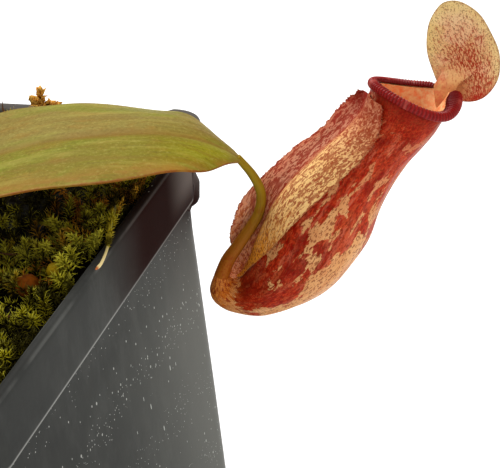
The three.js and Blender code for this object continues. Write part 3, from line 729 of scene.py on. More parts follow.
def bark_mix():
    """Damp bark and peat: dark brown flakes and light brown fibres."""
    f = Finish("bark_mix")
    where = f.place()
    flakes = f.add("ShaderNodeTexVoronoi", {"Vector": where, "Scale": 0.28, "Randomness": 1.0})
    tone = f.axis(flakes.outputs["Color"], "X")
    f.colour = f.blend(tone, (38, 26, 17), (88, 62, 38))
    f.tint(f.rise(f.noise(where, 1.2), 0.55, 0.75), (120, 88, 52))
    normal = f.bump(flakes.outputs["Distance"], 1.2, 0.9)
    return f.done(0.95, normal)


def moss_finish(name, settings, dark=0.0):
    """Moss: yellow-green at the tips under pale painted highlights, with painted shade that makes it
    nearly black at the roots, in patches that turn orange-brown, with painted shade in gloomy hollows and
    painted sunlight on lit tufts; dark lays an even painted shade over it all."""
    f = Finish(name, IOR=1.2, Specular_IOR_Level=0.1)
    where = f.place()
    tone, tip, rust = f.value("tone"), f.value("tip"), f.value("rust")
    green = f.mix(f.rise(tone, 0.0, 0.9), settings.deep_green, settings.bright_green)
    patch = f.noise(where, 13, 3)
    green = f.mix(f.times(f.rise(patch, 0.46, 0.66), 0.8), green, settings.yellow_green)
    brown = f.blend(tone, (160, 76, 8), (244, 158, 48))
    f.colour = f.mix(rust, green, brown)
    # Painted highlight: pale tips.
    pale = f.blend(rust, (224, 222, 96), (214, 140, 56))
    f.cover(f.times(f.rise(tip, 0.6, 1.0), 0.68), pale)
    # Painted shade: nearly black towards the leaflets' roots.
    shade = f.rise(tip, 0.15, 0.62)
    f.tint(f.rest(shade), (14, 9, 2), 0.94)
    # Painted shade and light from the lit value and noise: dark patches and hollows, sunlit tufts.
    lit = f.value("lit")
    gloom = f.rise(f.scaled(lit, 0.16, f.noise(where, 7, 2)), 0.56, 0.44)
    gloom = f.times(gloom, f.scaled(rust, -0.5, 0.92))
    gloom = f.larger(gloom, f.times(f.rise(lit, -0.1, -0.9), 0.94))
    f.tint(gloom, (18, 12, 3))
    sunny = f.times(f.rise(lit, 0.1, 0.9), shade, f.scaled(rust, -0.4, 0.5))
    f.tint(sunny, (232, 222, 70))
    # An even painted shade, for the ground under the shoots.
    if dark:
        f.tint(dark, (12, 8, 3))
    return f.done(f.scaled(tone, 0.2, 0.45))


def leaf_finish(settings):
    """Leaf: olive with soft green and orange-brown clouds, lengthwise wear, a fine mottle, faint
    lengthwise veins, an orange-brown midrib, a thin red-brown margin, a lighter far half, a greener
    near half and a sunny painted highlight on the near half towards the tip."""
    f = Finish("leaf_skin", IOR=1.2, Specular_IOR_Level=0.3)
    across, along = f.value("across"), f.value("along")
    grain = f.vector("grain")
    blotch = f.grained((0.4, 1, 1), 8, 4)
    far = f.mix(blotch, settings.far_half, linear(144, 128, 56))
    near = f.mix(blotch, settings.near_half, linear(130, 122, 18))
    f.colour = f.mix(f.rise(across, -0.1, 0.08), near, far)
    warm = f.rise(f.grained((0.45, 1, 1.3), 4, 6, 0.72), 0.46, 0.7)
    f.tint(warm, (156, 110, 32), 0.42)
    fresh = f.rise(f.grained((0.3, 0.8, 1.7), 9, 3), 0.5, 0.68)
    f.tint(fresh, (118, 128, 10), 0.62)
    # Painted highlight: a sunny yellow-green patch on the near half towards the tip.
    sunny = f.rise(f.absolute(f.plus(across, 0.45)), 0.5, 0.1)
    sunny = f.times(f.rise(along, 0.62, 0.8), f.rise(along, 0.98, 0.9), sunny)
    f.tint(sunny, (150, 146, 20), 0.55)
    fibres = f.grained((0.08, 1, 1), 0.7, 3, 0.6)
    f.tint(f.rise(fibres, 0.5, 0.75), (96, 80, 26), 0.3)
    mottle = f.noise(grain, 0.8, 4, 0.75)
    f.tint(f.rise(mottle, 0.52, 0.7), (92, 72, 14), 0.5)
    f.tint(f.rise(mottle, 0.48, 0.3), (190, 176, 92), 0.3)
    wear = f.grained((0.14, 1, 1), 3.2, 4, 0.65)
    f.tint(f.rise(wear, 0.5, 0.68), (124, 94, 26), 0.4)
    f.tint(f.rise(wear, 0.5, 0.32), (178, 166, 76), 0.3)
    side = f.absolute(across)
    rib = f.rise(f.scaled(mottle, 0.04, side), 0.16, 0.03)
    f.cover(f.times(rib, 0.5), settings.midrib)
    veins = f.absolute(f.math("SINE", f.times(side, 3 * math.pi)))
    vein = f.times(f.rise(veins, 0.1, 0.0), f.rise(side, 0.2, 0.25))
    f.tint(vein, (104, 84, 30), f.times(f.rise(blotch, 0.35, 0.65), 0.2))
    tip = f.rise(along, 0.86, 1.0)
    f.tint(tip, (138, 108, 34), 0.45)
    near_side = f.rise(across, 0.2, -0.2)
    patchy = f.rise(f.grained((0.3, 1, 1), 3, 4, 0.6), 0.35, 0.6)
    rusty = f.times(f.rise(side, 0.55, 1.0), near_side, patchy)
    f.tint(rusty, (166, 104, 40), 0.5)
    edge = f.rise(f.scaled(mottle, 0.06, side), 0.995, 1.02)
    uneven = f.rise(f.grained((0.5, 1, 1), 2.0, 4), 0.35, 0.6)
    edge = f.times(edge, f.scaled(uneven, 0.6, 0.3))
    f.tint(edge, (132, 66, 18), f.scaled(near_side, 0.7, 0.2))
    relief = f.plus(f.times(fibres, 0.3), f.times(f.rest(vein), 0.2), f.times(mottle, 0.5))
    normal = f.bump(relief, 0.14, 0.6)
    return f.done(f.scaled(mottle, 0.2, 0.38), normal)


def tendril_finish():
    """Tendril: olive at the leaf, turning brown-orange towards the pitcher, with fine stripes."""
    f = Finish("tendril_skin", IOR=1.2, Specular_IOR_Level=0.3)
    along = f.value("along")
    f.colour = f.blend(f.rise(along, 0.1, 0.8), (150, 124, 26), (156, 92, 24))
    f.tint(f.rise(along, 0.75, 1.0), (164, 90, 22))
    stripes = f.grained((0.08, 1, 1), 0.4, 3)
    f.tint(f.rise(stripes, 0.42, 0.75), (112, 70, 20), 0.4)
    red = f.rise(f.noise(f.place(), 2.6, 4, 0.6), 0.52, 0.72)
    f.tint(red, (146, 56, 12), f.scaled(along, 0.5, 0.15))
    specks = f.rise(f.noise(f.place(), 0.55, 4, 0.7), 0.47, 0.6)
    f.tint(specks, (146, 56, 12), f.times(f.rise(along, 0.5, 0.95), 0.6))
    return f.done(0.4, f.bump(stripes, 0.08, 0.6))


def pitcher_finish():
    """Pitcher body: mottled deep red with crisp cream and orange blotches, most of them low and
    towards the back, softer pink ones above, dark specks, a brown-orange base, a pink front line and
    a speckled peach inside. The pattern is stretched along the pitcher."""
    f = Finish("pitcher_skin", IOR=1.2, Specular_IOR_Level=0.3)
    along, inside = f.value("along"), f.value("inside")
    grain = f.vector("grain", (0.5, 1, 1))
    back = f.axis(grain, "Y")
    low = f.rise(along, 0.66, 0.3)
    fine = f.noise(grain, 0.55, 4, 0.7)
    big = f.scaled(fine, 0.1, f.noise(grain, 2.9, 4, 0.55, 0.5))
    big = f.scaled(f.rise(back, -2, 9), 0.1, f.scaled(low, 0.1, big))
    big = f.scaled(f.rise(along, 0.75, 0.95), -0.08, big)
    hollow = f.times(f.rise(back, 4.0, 0.0), f.times(f.rise(along, 0.47, 0.38), f.rise(along, 0.16, 0.27)))
    big = f.scaled(hollow, -0.22, big)
    islands = f.times(f.rise(back, -5, 0), f.times(f.rise(along, 0.2, 0.32), f.rise(along, 0.72, 0.55)))
    islands = f.times(islands, f.rise(f.noise(grain, 1.5, 4, 0.6, 0.5), 0.48, 0.6))
    big = f.scaled(islands, 0.09, big)
    blotch = f.rise(big, 0.612, 0.64)
    cream = f.blend(f.noise(grain, 2.0, 4), (212, 140, 80), (238, 186, 126))
    cream = f.over(cream, f.rise(along, 0.55, 0.8), (196, 96, 66), 0.75)
    red = f.blend(f.rise(fine, 0.36, 0.64), (150, 16, 2), (200, 62, 26))
    wash = f.times(f.rise(f.grained((0.5, 1, 1), 3.4, 3), 0.42, 0.6), f.rise(back, -4, 3))
    red = f.over(red, wash, (214, 100, 58), f.times(f.rise(along, 0.86, 0.7), 0.4))
    streaks = f.rise(f.grained((0.22, 1, 1), 1.3, 5, 0.65), 0.5, 0.62)
    streaks = f.times(streaks, f.times(f.rise(along, 0.25, 0.5), f.rise(along, 0.95, 0.8)))
    red = f.over(red, streaks, (206, 106, 76), 0.65)
    deep = f.rise(f.grained((0.4, 1, 1.2), 4.5, 3), 0.5, 0.64)
    red = f.over(red, deep, (120, 6, 2), 0.6)
    mottle = f.grained((0.6, 1, 1), 0.8, 5, 0.75)
    red = f.over(red, f.rise(mottle, 0.5, 0.62), (112, 8, 2), 0.45)
    red = f.over(red, f.rise(mottle, 0.45, 0.34), (206, 84, 52), 0.4)
    patches = f.rise(f.grained((0.45, 1, 1.1), 1.7, 4, 0.6), 0.54, 0.6)
    red = f.over(red, patches, (200, 96, 54), f.scaled(low, 0.25, 0.22))
    red = f.over(red, f.rise(along, 0.86, 1.0), (112, 8, 8), 0.6)
    f.colour = f.mix(f.times(blotch, f.rise(along, 0.98, 0.8)), red, cream)
    soft = f.rise(f.grained((0.5, 1, 1), 1.1, 4, 0.65), 0.44, 0.62)
    f.tint(f.times(soft, blotch, 0.35), (196, 104, 58))
    dots = f.rise(f.grained((0.7, 1, 1), 0.36, 2, 0.6), 0.54, 0.59)
    f.tint(dots, (122, 38, 12), 0.72)
    base = f.rise(along, 0.3, 0.1)
    gold = f.blend(f.rise(fine, 0.45, 0.6), (214, 126, 34), (160, 56, 10))
    f.cover(f.times(base, 0.8, f.scaled(hollow, -0.7, 1.0)), gold)
    spot = f.times(f.rise(f.noise(grain, 2.2, 4), 0.54, 0.6), f.rise(along, 0.36, 0.2))
    f.tint(spot, (128, 22, 6), 0.75)
    front = f.rise(f.axis(f.vector("grain"), "Y"), -8.2, -9.2)
    pink = f.blend(f.rise(f.grained((0.5, 1, 1), 0.9, 4, 0.7), 0.45, 0.6), (176, 70, 48), (224, 152, 112))
    f.cover(f.times(front, f.rise(along, 0.25, 0.4), 0.8), pink)
    peach = f.blend(f.rise(f.noise(f.place(), 1.2, 5, 0.7), 0.3, 0.7), (252, 138, 82), (255, 208, 146))
    peach = f.over(peach, f.rise(along, 0.85, 0.4), (170, 92, 40), 0.7)
    f.cover(inside, peach)
    fibres = f.grained((0.08, 1, 1), 0.5, 3)
    normal = f.bump(f.plus(f.times(fibres, 0.4), f.times(fine, 0.6)), 0.16, 0.6)
    return f.done(f.scaled(fine, 0.15, 0.34), normal)


def wing_finish(name, ground, light, streak, amount, root_share, dash, end, low):
    """Wing: a pale ground with dense short dark dashes along the pitcher, more of them towards the
    mouth; the root is pinker and the edge darker, and the low end turns gold."""
    f = Finish(name, IOR=1.2, Specular_IOR_Level=0.2)
    grain = f.vector("grain", (0.55, 1, 1))
    across, long = f.value("across"), f.axis(f.vector("grain"), "X")
    f.colour = f.blend(f.noise(grain, 2.2, 4), ground, light)
    top = f.rise(long, 50, 72)
    pink = f.blend(f.rise(f.noise(grain, 0.9, 4, 0.7), 0.35, 0.65), (182, 66, 50), (234, 150, 118))
    f.cover(f.times(top, 0.8), pink)
    root = f.rise(f.scaled(f.noise(grain, 2.0, 3), 0.3, across), root_share + 0.2, root_share)
    f.cover(f.times(root, 0.75, f.rise(long, 26, 40)), pink)
    crowd = f.scaled(f.noise(grain, 3.5, 2), 0.2, f.times(top, 0.015))
    thin = f.plus(f.grained((dash, 1, 1), 0.4, 3, 0.6), crowd)
    thin = f.rise(thin, amount, amount + 0.04)
    fat = f.plus(f.grained((dash * 0.8, 1, 1), 1.0, 3, 0.6), f.times(crowd, 0.5))
    fat = f.rise(fat, amount - 0.02, amount + 0.03)
    thin = f.larger(thin, f.times(fat, 0.85))
    f.tint(thin, streak, 0.82)
    long_marks = f.scaled(top, 0.05, f.grained((0.3, 1, 1.4), 0.9, 4, 0.7))
    long_marks = f.rise(long_marks, 0.58, 0.63)
    f.tint(long_marks, (168, 62, 34), 0.55)
    gold = f.rise(f.scaled(f.noise(grain, 2.0, 3), 8, long), 50, 34)
    ochre = f.blend(f.rise(f.noise(grain, 0.5, 3), 0.47, 0.6), (246, 158, 44), (168, 70, 14))
    f.cover(f.times(gold, low), ochre)
    last = f.rise(f.scaled(f.noise(grain, 1.5, 4), 10, long), 70, 79)
    f.tint(last, (128, 18, 16), end)
    edge = f.rise(across, 0.95, 1.0)
    f.tint(edge, (128, 40, 22), 0.4)
    normal = f.bump(f.grained((1, 0.35, 1), 0.5, 3), 0.16, 0.7)
    return f.done(0.45, normal)


def lip_finish(settings):
    """Lip: dark glossy crimson, with painted shade between its ribs, darker on its inner side, and with a
    few lighter ribs."""
    f = Finish("lip_skin", Coat_Weight=0.12, Coat_Roughness=0.2, IOR=1.25, Specular_IOR_Level=0.3)
    rib = f.value("rib")
    tone = f.grained((1, 0.1, 1), 1.6, 3)
    f.colour = f.mix(tone, linear(130, 10, 8), settings.lip)
    # Painted shade between the ribs.
    f.tint(f.rest(rib), (76, 2, 2), 0.5)
    pale = f.rise(f.grained((1, 0.3, 0.3), 4.0, 4), 0.52, 0.66)
    f.tint(pale, (206, 100, 84), 0.4)
    place = f.vector("grain")
    inner = f.rise(f.axis(place, "Y"), -0.3, -1.0)
    broad = f.times(f.rise(f.axis(place, "X"), 12, 6), f.rise(f.axis(place, "Y"), 0.6, -0.2))
    f.tint(f.larger(inner, broad), (98, 3, 5), 0.85)
    return f.done(0.3)


def lid_finish(settings):
    """Lid: cream-yellow with brown dots all over, a red blush and dense red dashes that fan out from
    its neck over the middle, a red patch low on one side, a red foot and a thin dark edge. The neck
    itself is fleshy and stays plain."""
    f = Finish("lid_skin", IOR=1.2, Specular_IOR_Level=0.2)
    across, up, neck = f.value("across"), f.value("upward"), f.value("neck")
    fan = f.math("DIVIDE", across, f.scaled(up, 0.4, 1.1))
    lines = f.add("ShaderNodeCombineXYZ", {0: f.times(fan, 9), 1: f.times(up, 4.5), 2: 0.0}).outputs[0]
    where = f.place()
    warp = f.scaled(f.noise(where, 3.5, 3), 0.9, -0.45)
    off = f.absolute(f.plus(f.math("SUBTRACT", across, 0.02), warp))
    middle = f.times(f.rise(off, 1.0, 0.2), f.rise(f.plus(up, warp), 0.85, -0.25))
    middle = f.times(middle, f.rest(neck))
    cream = f.mix(f.noise(where, 2.5, 4), settings.lid, linear(255, 196, 144))
    cream = f.over(cream, f.rise(f.value("rim"), 0.6, 0.95), (255, 230, 150), 0.6)
    flesh = f.blend(f.rise(f.noise(where, 1.6, 4), 0.4, 0.65), (214, 152, 90), (198, 124, 72))
    cream = f.over(cream, f.rise(f.noise(where, 6, 2), 0.45, 0.6), (242, 208, 128), 0.5)
    # Painted light: the lid lighter towards one side.
    cream = f.over(cream, f.rise(across, 0.45, 0.85), (255, 214, 150), 0.5)
    cream = f.mix(f.times(neck, 0.85), cream, flesh)
    cream = f.over(cream, neck, (214, 136, 80), f.rise(up, -0.46, -0.7))
    f.colour = f.over(cream, middle, (226, 116, 80), 0.5)
    streak = f.noise(lines, 0.4, 4, 0.65)
    red = f.rise(f.scaled(middle, 0.11, streak), 0.575, 0.61)
    f.tint(red, (178, 54, 32), f.scaled(middle, 0.45, 0.5))
    dots = f.rise(f.noise(where, 0.42, 3, 0.65), 0.553, 0.583)
    f.tint(dots, (132, 66, 34), f.scaled(neck, -0.7, 0.6, clamp=True))
    blush = f.times(f.rise(across, -0.35, -0.8), f.rise(up, 0.3, -0.3))
    f.tint(f.times(blush, f.rise(f.noise(where, 1.4, 4, 0.7), 0.4, 0.6), 0.55), (206, 84, 60))
    foot = f.rise(f.scaled(f.noise(where, 1.2, 4, 0.7), 0.7, up), -0.3, -0.7)
    foot = f.times(foot, f.rest(neck))
    f.tint(foot, (196, 36, 32), 0.7)
    edge = f.rise(f.value("rim"), 0.965, 1.0)
    f.tint(edge, (134, 84, 50), 0.5)
    normal = f.bump(f.plus(f.noise(where, 0.8, 4), f.times(red, 0.3)), 0.12, 0.6)
    return f.done(0.45, normal)


def stem_finish():
    """Stem: olive-brown with dry brown leaf scars."""
    f = Finish("stem_skin")
    where = f.place((1, 1, 0.3))
    tone = f.noise(where, 1.5, 4)
    f.colour = f.blend(tone, (96, 82, 38), (124, 84, 44))
    f.tint(f.value("scar"), (70, 44, 22), 0.8)
    return f.done(0.6, f.bump(tone, 0.25, 0.8))


def hair_finish():
    """Short rust-brown hairs."""
    f = Finish("wing_hair")
    f.colour = f.blend(f.value("tip"), (132, 60, 28), (188, 118, 66))
    return f.done(0.5)


def studio_floor(settings):
    """Pale matt floor with a slight even glow, so that it stays white under the soft light."""
    f = Finish("studio_floor", Emission_Strength=settings.floor_glow)
    f.shader.inputs["Emission Color"].default_value = (1, 1, 1, 1)
    tone = f.noise(f.place((0.001, 0.001, 0.001)), 1.0, 1)
    f.colour = f.mix(tone, (0.9, 0.9, 0.9, 1), (0.94, 0.94, 0.94, 1))
    return f.done(0.9)


# Sizes and colours that a user would change


def number_of(name, description, default, kind=FloatProperty, **limits):
    """A number that a user can change."""
    return kind(name=name, description=description, default=default, **limits)


def colour_of(name, description, screen):
    """A colour property whose default is given as 0 to 255 screen values."""
    limits = {"size": 4, "min": 0, "max": 1, "subtype": "COLOR"}
    return number_of(name, description, linear(*screen), FloatVectorProperty, **limits)


class PotSettings(bpy.types.PropertyGroup):
    """Nursery pot."""

    crease_depth: number_of(
        "Corner crease",
        "Depth of the upright creases beside each corner of the band, in millimetres",
        0.5,
        min=0,
        max=2,
    )
    speck_threshold: number_of(
        "Speck threshold",
        "Share of places on the walls that stay free of dried water specks",
        0.93,
        min=0.5,
        max=1.2,
        subtype="FACTOR",
    )


class MossSettings(bpy.types.PropertyGroup):
    """Moss bed."""

    spacing: number_of(
        "Shoot spacing", "Distance between moss shoots, in millimetres", 2.75, min=2.5, max=12
    )
    leaflets: number_of(
        "Leaflets per shoot", "Pointed leaflets on each shoot", 42, IntProperty, min=10, max=90
    )
    leaflet_length: number_of(
        "Leaflet length", "Length of a moss leaflet, in millimetres", 2.6, min=1, max=6
    )
    seed: number_of("Seed", "Number that the scatter of the shoots starts from", 11, IntProperty)
    deep_green: colour_of("Deep green", "Colour of shaded moss", (74, 60, 4))
    bright_green: colour_of("Bright green", "Colour of lit moss", (160, 148, 16))
    yellow_green: colour_of("Yellow green", "Colour of the yellow patches", (190, 174, 44))


class LeafSettings(bpy.types.PropertyGroup):
    """Leaves."""

    thickness: number_of(
        "Blade thickness", "Thickness of a leaf near its midrib, in millimetres", 0.8, min=0.4
    )
    far_half: colour_of("Far half", "Colour of each leaf's lighter half", (126, 108, 36))
    near_half: colour_of("Near half", "Colour of each leaf's greener half", (116, 102, 8))
    midrib: colour_of("Midrib", "Colour of the midrib", (126, 84, 24))


class PitcherSettings(bpy.types.PropertyGroup):
    """Pitchers, lips and lids."""

    ribs: number_of("Lip ribs", "Ribs round each lip", 76, IntProperty, min=24, max=160)
    rib_height: number_of("Rib height", "Height of a lip's ribs, in millimetres", 0.26, min=0, max=0.5)
    hair_length: number_of(
        "Hair length", "Length of the hairs on the wings' edges, in millimetres", 0.7, min=0.2
    )
    lip: colour_of("Lip", "Colour of the lip", (164, 26, 20))
    lid: colour_of("Lid", "Ground colour of the lid", (255, 224, 170))


class StageSettings(bpy.types.PropertyGroup):
    """Floor, lights and camera."""

    key_power: number_of("Key light", "Power of the large light, in watts", 5.5, min=0)
    fill_power: number_of("Fill light", "Power of the second light, in watts", 1.5, min=0)
    sky: number_of("Sky", "Strength of the even light from all round", 0.6, min=0)
    floor_glow: number_of("Floor glow", "Light that the floor adds of its own", 0.25, min=0)


# Pieces


def shape_band(ring, corner, away, half, height, outer, crease_depth):
    """The band's corners: upright creases beside each, and between them a lobe that is pinched in at
    its waist and foot, stands up at its top, and whose lower edge drops."""
    lobe = fade(corner, 51, 1.5)
    crease = bell(corner, 3.2, 54) * crease_depth
    level = ramp(height, 102.9, 2) * np.clip((120.4 - height) / 3, 0.2, 1) * outer
    depth, place, spread = CORNER_WAIST
    pinch = depth * bell(height, spread, place)
    if outer and height > 102.8:
        depth, place, spread = CORNER_FOOT
        pinch += min(depth * bell(height, spread, place), half - BAND_LEAST_HALF)
    ring = ring + away * (-crease * level - (pinch + 0.15 * level) * lobe)[:, None]
    drop = ramp(height, 95, 7) * ramp(height, 109, -4) * outer
    ring[:, 2] += CORNER_RISE * lobe * ramp(height, 116, 4) - CORNER_DROP * fade(corner, 40, 5) * drop
    return ring


def drain_cutter():
    """The four drain holes as one body of round posts through the pot's floor."""
    angle = round_angles(40)
    posts = []
    for x in (-DRAIN_PLACE, DRAIN_PLACE):
        for y in (-DRAIN_PLACE, DRAIN_PLACE):
            circle = np.stack([x + DRAIN_RADIUS * np.cos(angle), y + DRAIN_RADIUS * np.sin(angle)], -1)
            ends = [np.concatenate([circle, np.full((40, 1), z)], 1) for z in DRAIN_REACH]
            posts.append(loft(np.stack(ends)))
    points, faces = joined(*posts)
    mesh = bpy.data.meshes.new("drain_cutter")
    corners = [list(map(int, face)) for group in outward(points, faces) for face in group]
    mesh.from_pydata([tuple(p) for p in points * MM], [], corners)
    cutter = bpy.data.objects.new("drain_cutter", mesh)
    bpy.context.scene.collection.objects.link(cutter)
    return cutter


def build_pot(settings):
    """Pot: a rounded-square profile carried round, with shaped corners in its band and walls that
    bow slightly, then four drain holes cut in the floor."""
    profile = np.array(POT_PROFILE)
    span = np.hypot(np.diff(profile[:, 0]), np.diff(profile[:, 2]))
    steps = np.maximum(1, (span / np.where(profile[1:, 2] > 103, 1.8, 9)).astype(int))
    changes = np.diff(profile, axis=0)
    rows = [profile[i] + changes[i] * k / n for i, n in enumerate(steps) for k in range(n)]
    rows.append(profile[-1])
    rings, levels = [], []
    for index, (half, radius, height) in enumerate(rows):
        ring, corner = square_ring(half, radius, height)
        levels.append(np.full(len(ring), height))
        outer = index <= sum(steps[:POT_OUTSIDE])
        plan = ring * (1, 1, 0.0)
        away = unit(plan - np.clip(plan, -50, 50))
        if 95 < height < 120.1:
            ring = shape_band(ring, corner, away, half, height, outer, settings.crease_depth)
        if outer and 3 < height < 101.6:
            flat = np.maximum(0, 1 - np.abs(ring[:, :2]).min(1) / 46)
            bow = WALL_BOW * math.sin(math.pi * height / 102) * flat**0.5
            ring = ring - away * bow[:, None]
        rings.append(ring)
    values = {"level": capped(np.concatenate(levels), rows[0][2], rows[-1][2])}
    body, finish = loft(np.stack(rings)), pot_plastic(settings)
    pot = make_piece("nursery_pot", body, finish, values, ["pot"], POT_CREASE)
    cutter = drain_cutter()
    cut = pot.modifiers.new("drain holes", "BOOLEAN")
    cut.object, cut.operation, cut.solver = cutter, "DIFFERENCE", "EXACT"
    bpy.context.view_layer.update()
    seen = pot.evaluated_get(bpy.context.evaluated_depsgraph_get())
    drilled = bpy.data.meshes.new_from_object(seen)
    before = len(pot.data.vertices)
    pot.modifiers.clear()
    pot.data = drilled
    bpy.data.objects.remove(cutter)
    if len(drilled.vertices) <= before:
        raise RuntimeError("the drain holes weren't cut")
    drilled.set_sharp_from_angle(angle=POT_CREASE * RAD)
    return pot


def moss_wave(x, y):
    """Low waves of the moss, the same as in the solid: a product of a sine and a cosine, plus a sine
    along the diagonal."""
    return 1.1 * np.sin(x / 9.5 + 1.7) * np.cos(y / 8.3 - 0.5) + 0.8 * np.sin((x + y) / 13 + 2.2)


def level_points(at):
    """Places (x, y) as points at height 0."""
    return np.c_[at, np.zeros(len(at))]


def moss_light(at):
    """How lit the moss is at a place: bell curves that add up, bright ones at the tufts and dark ones
    at the hollows, over a slow ripple."""
    value = 0.5 * ripple(level_points(at), 12, 21)
    for x, y, reach, size in MOSS_TUFTS:
        value += size * np.exp(-(((at[:, 0] - x) ** 2 + (at[:, 1] - y) ** 2) / reach**2))
    return np.clip(value, -1, 1)


def build_moss_ground():
    """Ground under the shoots: rounded-square rings shrinking to the stem's hole, raised by the
    waves and by small bumps, then the same down the side and back along a flat underside."""
    rings = []
    for share in np.linspace(1, 0.12, 44):
        ring, _ = square_ring(BED_HALF * share, BED_CORNER * share, 0)
        bumps = 1.1 * ripple(ring, 5.5, 1) + 0.6 * ripple(ring, 2.6, 2)
        edge = 1.6 * max(0.0, (share - 0.955) / 0.045) ** 2
        ring[:, 2] = MOSS_LEVEL + moss_wave(ring[:, 0], ring[:, 1]) + bumps - edge
        rings.append(ring)
    for share in (0.12, 0.5, 1.0):
        rings.append(square_ring(BED_HALF * share, BED_CORNER * share, MOSS_UNDERSIDE)[0])
    rings = np.stack(rings)
    rows, columns = rings.shape[:2]
    ground = rings.reshape(-1, 3)
    values = {
        "tone": 0.3 + 0.3 * ripple(ground, 7, 3),
        # A low tip value, so that the finish's painted shade turns the ground nearly black.
        "tip": np.full(len(ground), 0.15),
        "rust": np.clip(0.5 * ripple(ground, 9, 4), 0, 1),
    }
    return (ground, [grid_quads(rows, columns, True, True)]), values


def moss_shoots(rng, roots, headings, lengths, leaflets, size, spread=(64, 24), wide=0.125):
    """Moss shoots: pointed leaflets set round each shoot's own line by the golden angle. They stand
    out widely at its foot and close up at its tip, and are longest below the middle. The line bends
    over towards the ground by the square of the distance along it."""
    count = len(roots)
    s = (np.arange(leaflets)[None, :] + rng.uniform(0, 1, (count, 1))) / leaflets
    s = np.clip(s, 0, 1)[..., None]
    drop = np.array([0, 0, -1.0]) * (lengths * (1 - headings[:, 2]) * 0.25)[:, None, None]
    centre = roots[:, None] + headings[:, None] * lengths[:, None, None] * s + drop * s**2
    first = unit(np.cross(headings, rng.normal(size=(count, 3))))[:, None]
    second = np.cross(headings[:, None], first)
    angle = (np.arange(leaflets) * GOLDEN)[None, :, None] + rng.uniform(0, TURN, (count, 1, 1))
    radial = first * np.cos(angle) + second * np.sin(angle)
    opened = (spread[0] + (spread[1] - spread[0]) * s**1.5 + rng.normal(0, 9, s.shape)) * RAD
    direction = unit(headings[:, None] * np.cos(opened) + radial * np.sin(opened))
    length = size * (0.72 + 0.4 * np.sin(math.pi * np.clip(s * 0.9 + 0.15, 0, 1)))
    length = length * rng.uniform(0.75, 1.2, s.shape)
    tips = centre + direction * length
    width = (size * wide * rng.uniform(0.8, 1.25, (count, leaflets))).ravel()
    bends = (headings[:, None] * 0.16 - radial * 0.04) * length
    body = lances(centre.reshape(-1, 3), tips.reshape(-1, 3), width, bends.reshape(-1, 3))
    tone = rng.uniform(0.15, 0.95, (count, 1)) + rng.normal(0, 0.12, (count, leaflets))
    tone = np.repeat(np.clip(tone, 0, 1).ravel(), LEAFLET_POINTS)
    tip = np.array([0.0, 0.5, 0.5, 0.55, 1.0])[None, None, :] * 0.75 + 0.25 * s
    return body, tone, np.broadcast_to(tip, (count, leaflets, LEAFLET_POINTS)).ravel()


def inside_pot(points):
    """Leaflets moved in as a whole where they would reach through the pot's walls or lean out over
    its rim."""
    held = points.reshape(-1, LEAFLET_POINTS, 3).copy()
    limit = np.where(held[..., 2].min(1) < 120.6, 61.3, 62.4)
    for axis in (0, 1):
        place = held[..., axis]
        over = np.maximum(0, place.max(1) - limit) + np.minimum(0, place.min(1) + limit)
        held[..., axis] -= over[:, None]
    return held.reshape(-1, 3)


def shoot_spots(rng, spacing):
    """Places of the shoots: a jittered grid clear of the stem, and a row along three of the walls."""
    steps = int(BED_HALF / spacing)
    x, y = np.meshgrid(np.arange(-steps, steps + 1), np.arange(-steps, steps + 1))
    spots = np.stack([x.ravel(), y.ravel()], -1) * spacing + rng.uniform(-1.7, 1.7, (x.size, 2))
    edge = np.linspace(-56, 56, 50)
    wall = 0 * edge + 59.6
    sides = np.concatenate([np.stack(side, -1) for side in ((edge, -wall), (wall, edge), (-wall, edge))])
    sides = sides + rng.uniform(-0.8, 0.5, (150, 2))
    inner = (np.abs(spots).max(1) < 58.8) & (np.hypot(*spots.T) > 8.5)
    return np.concatenate([spots[inner], sides[sides[:, 1] < 44]])


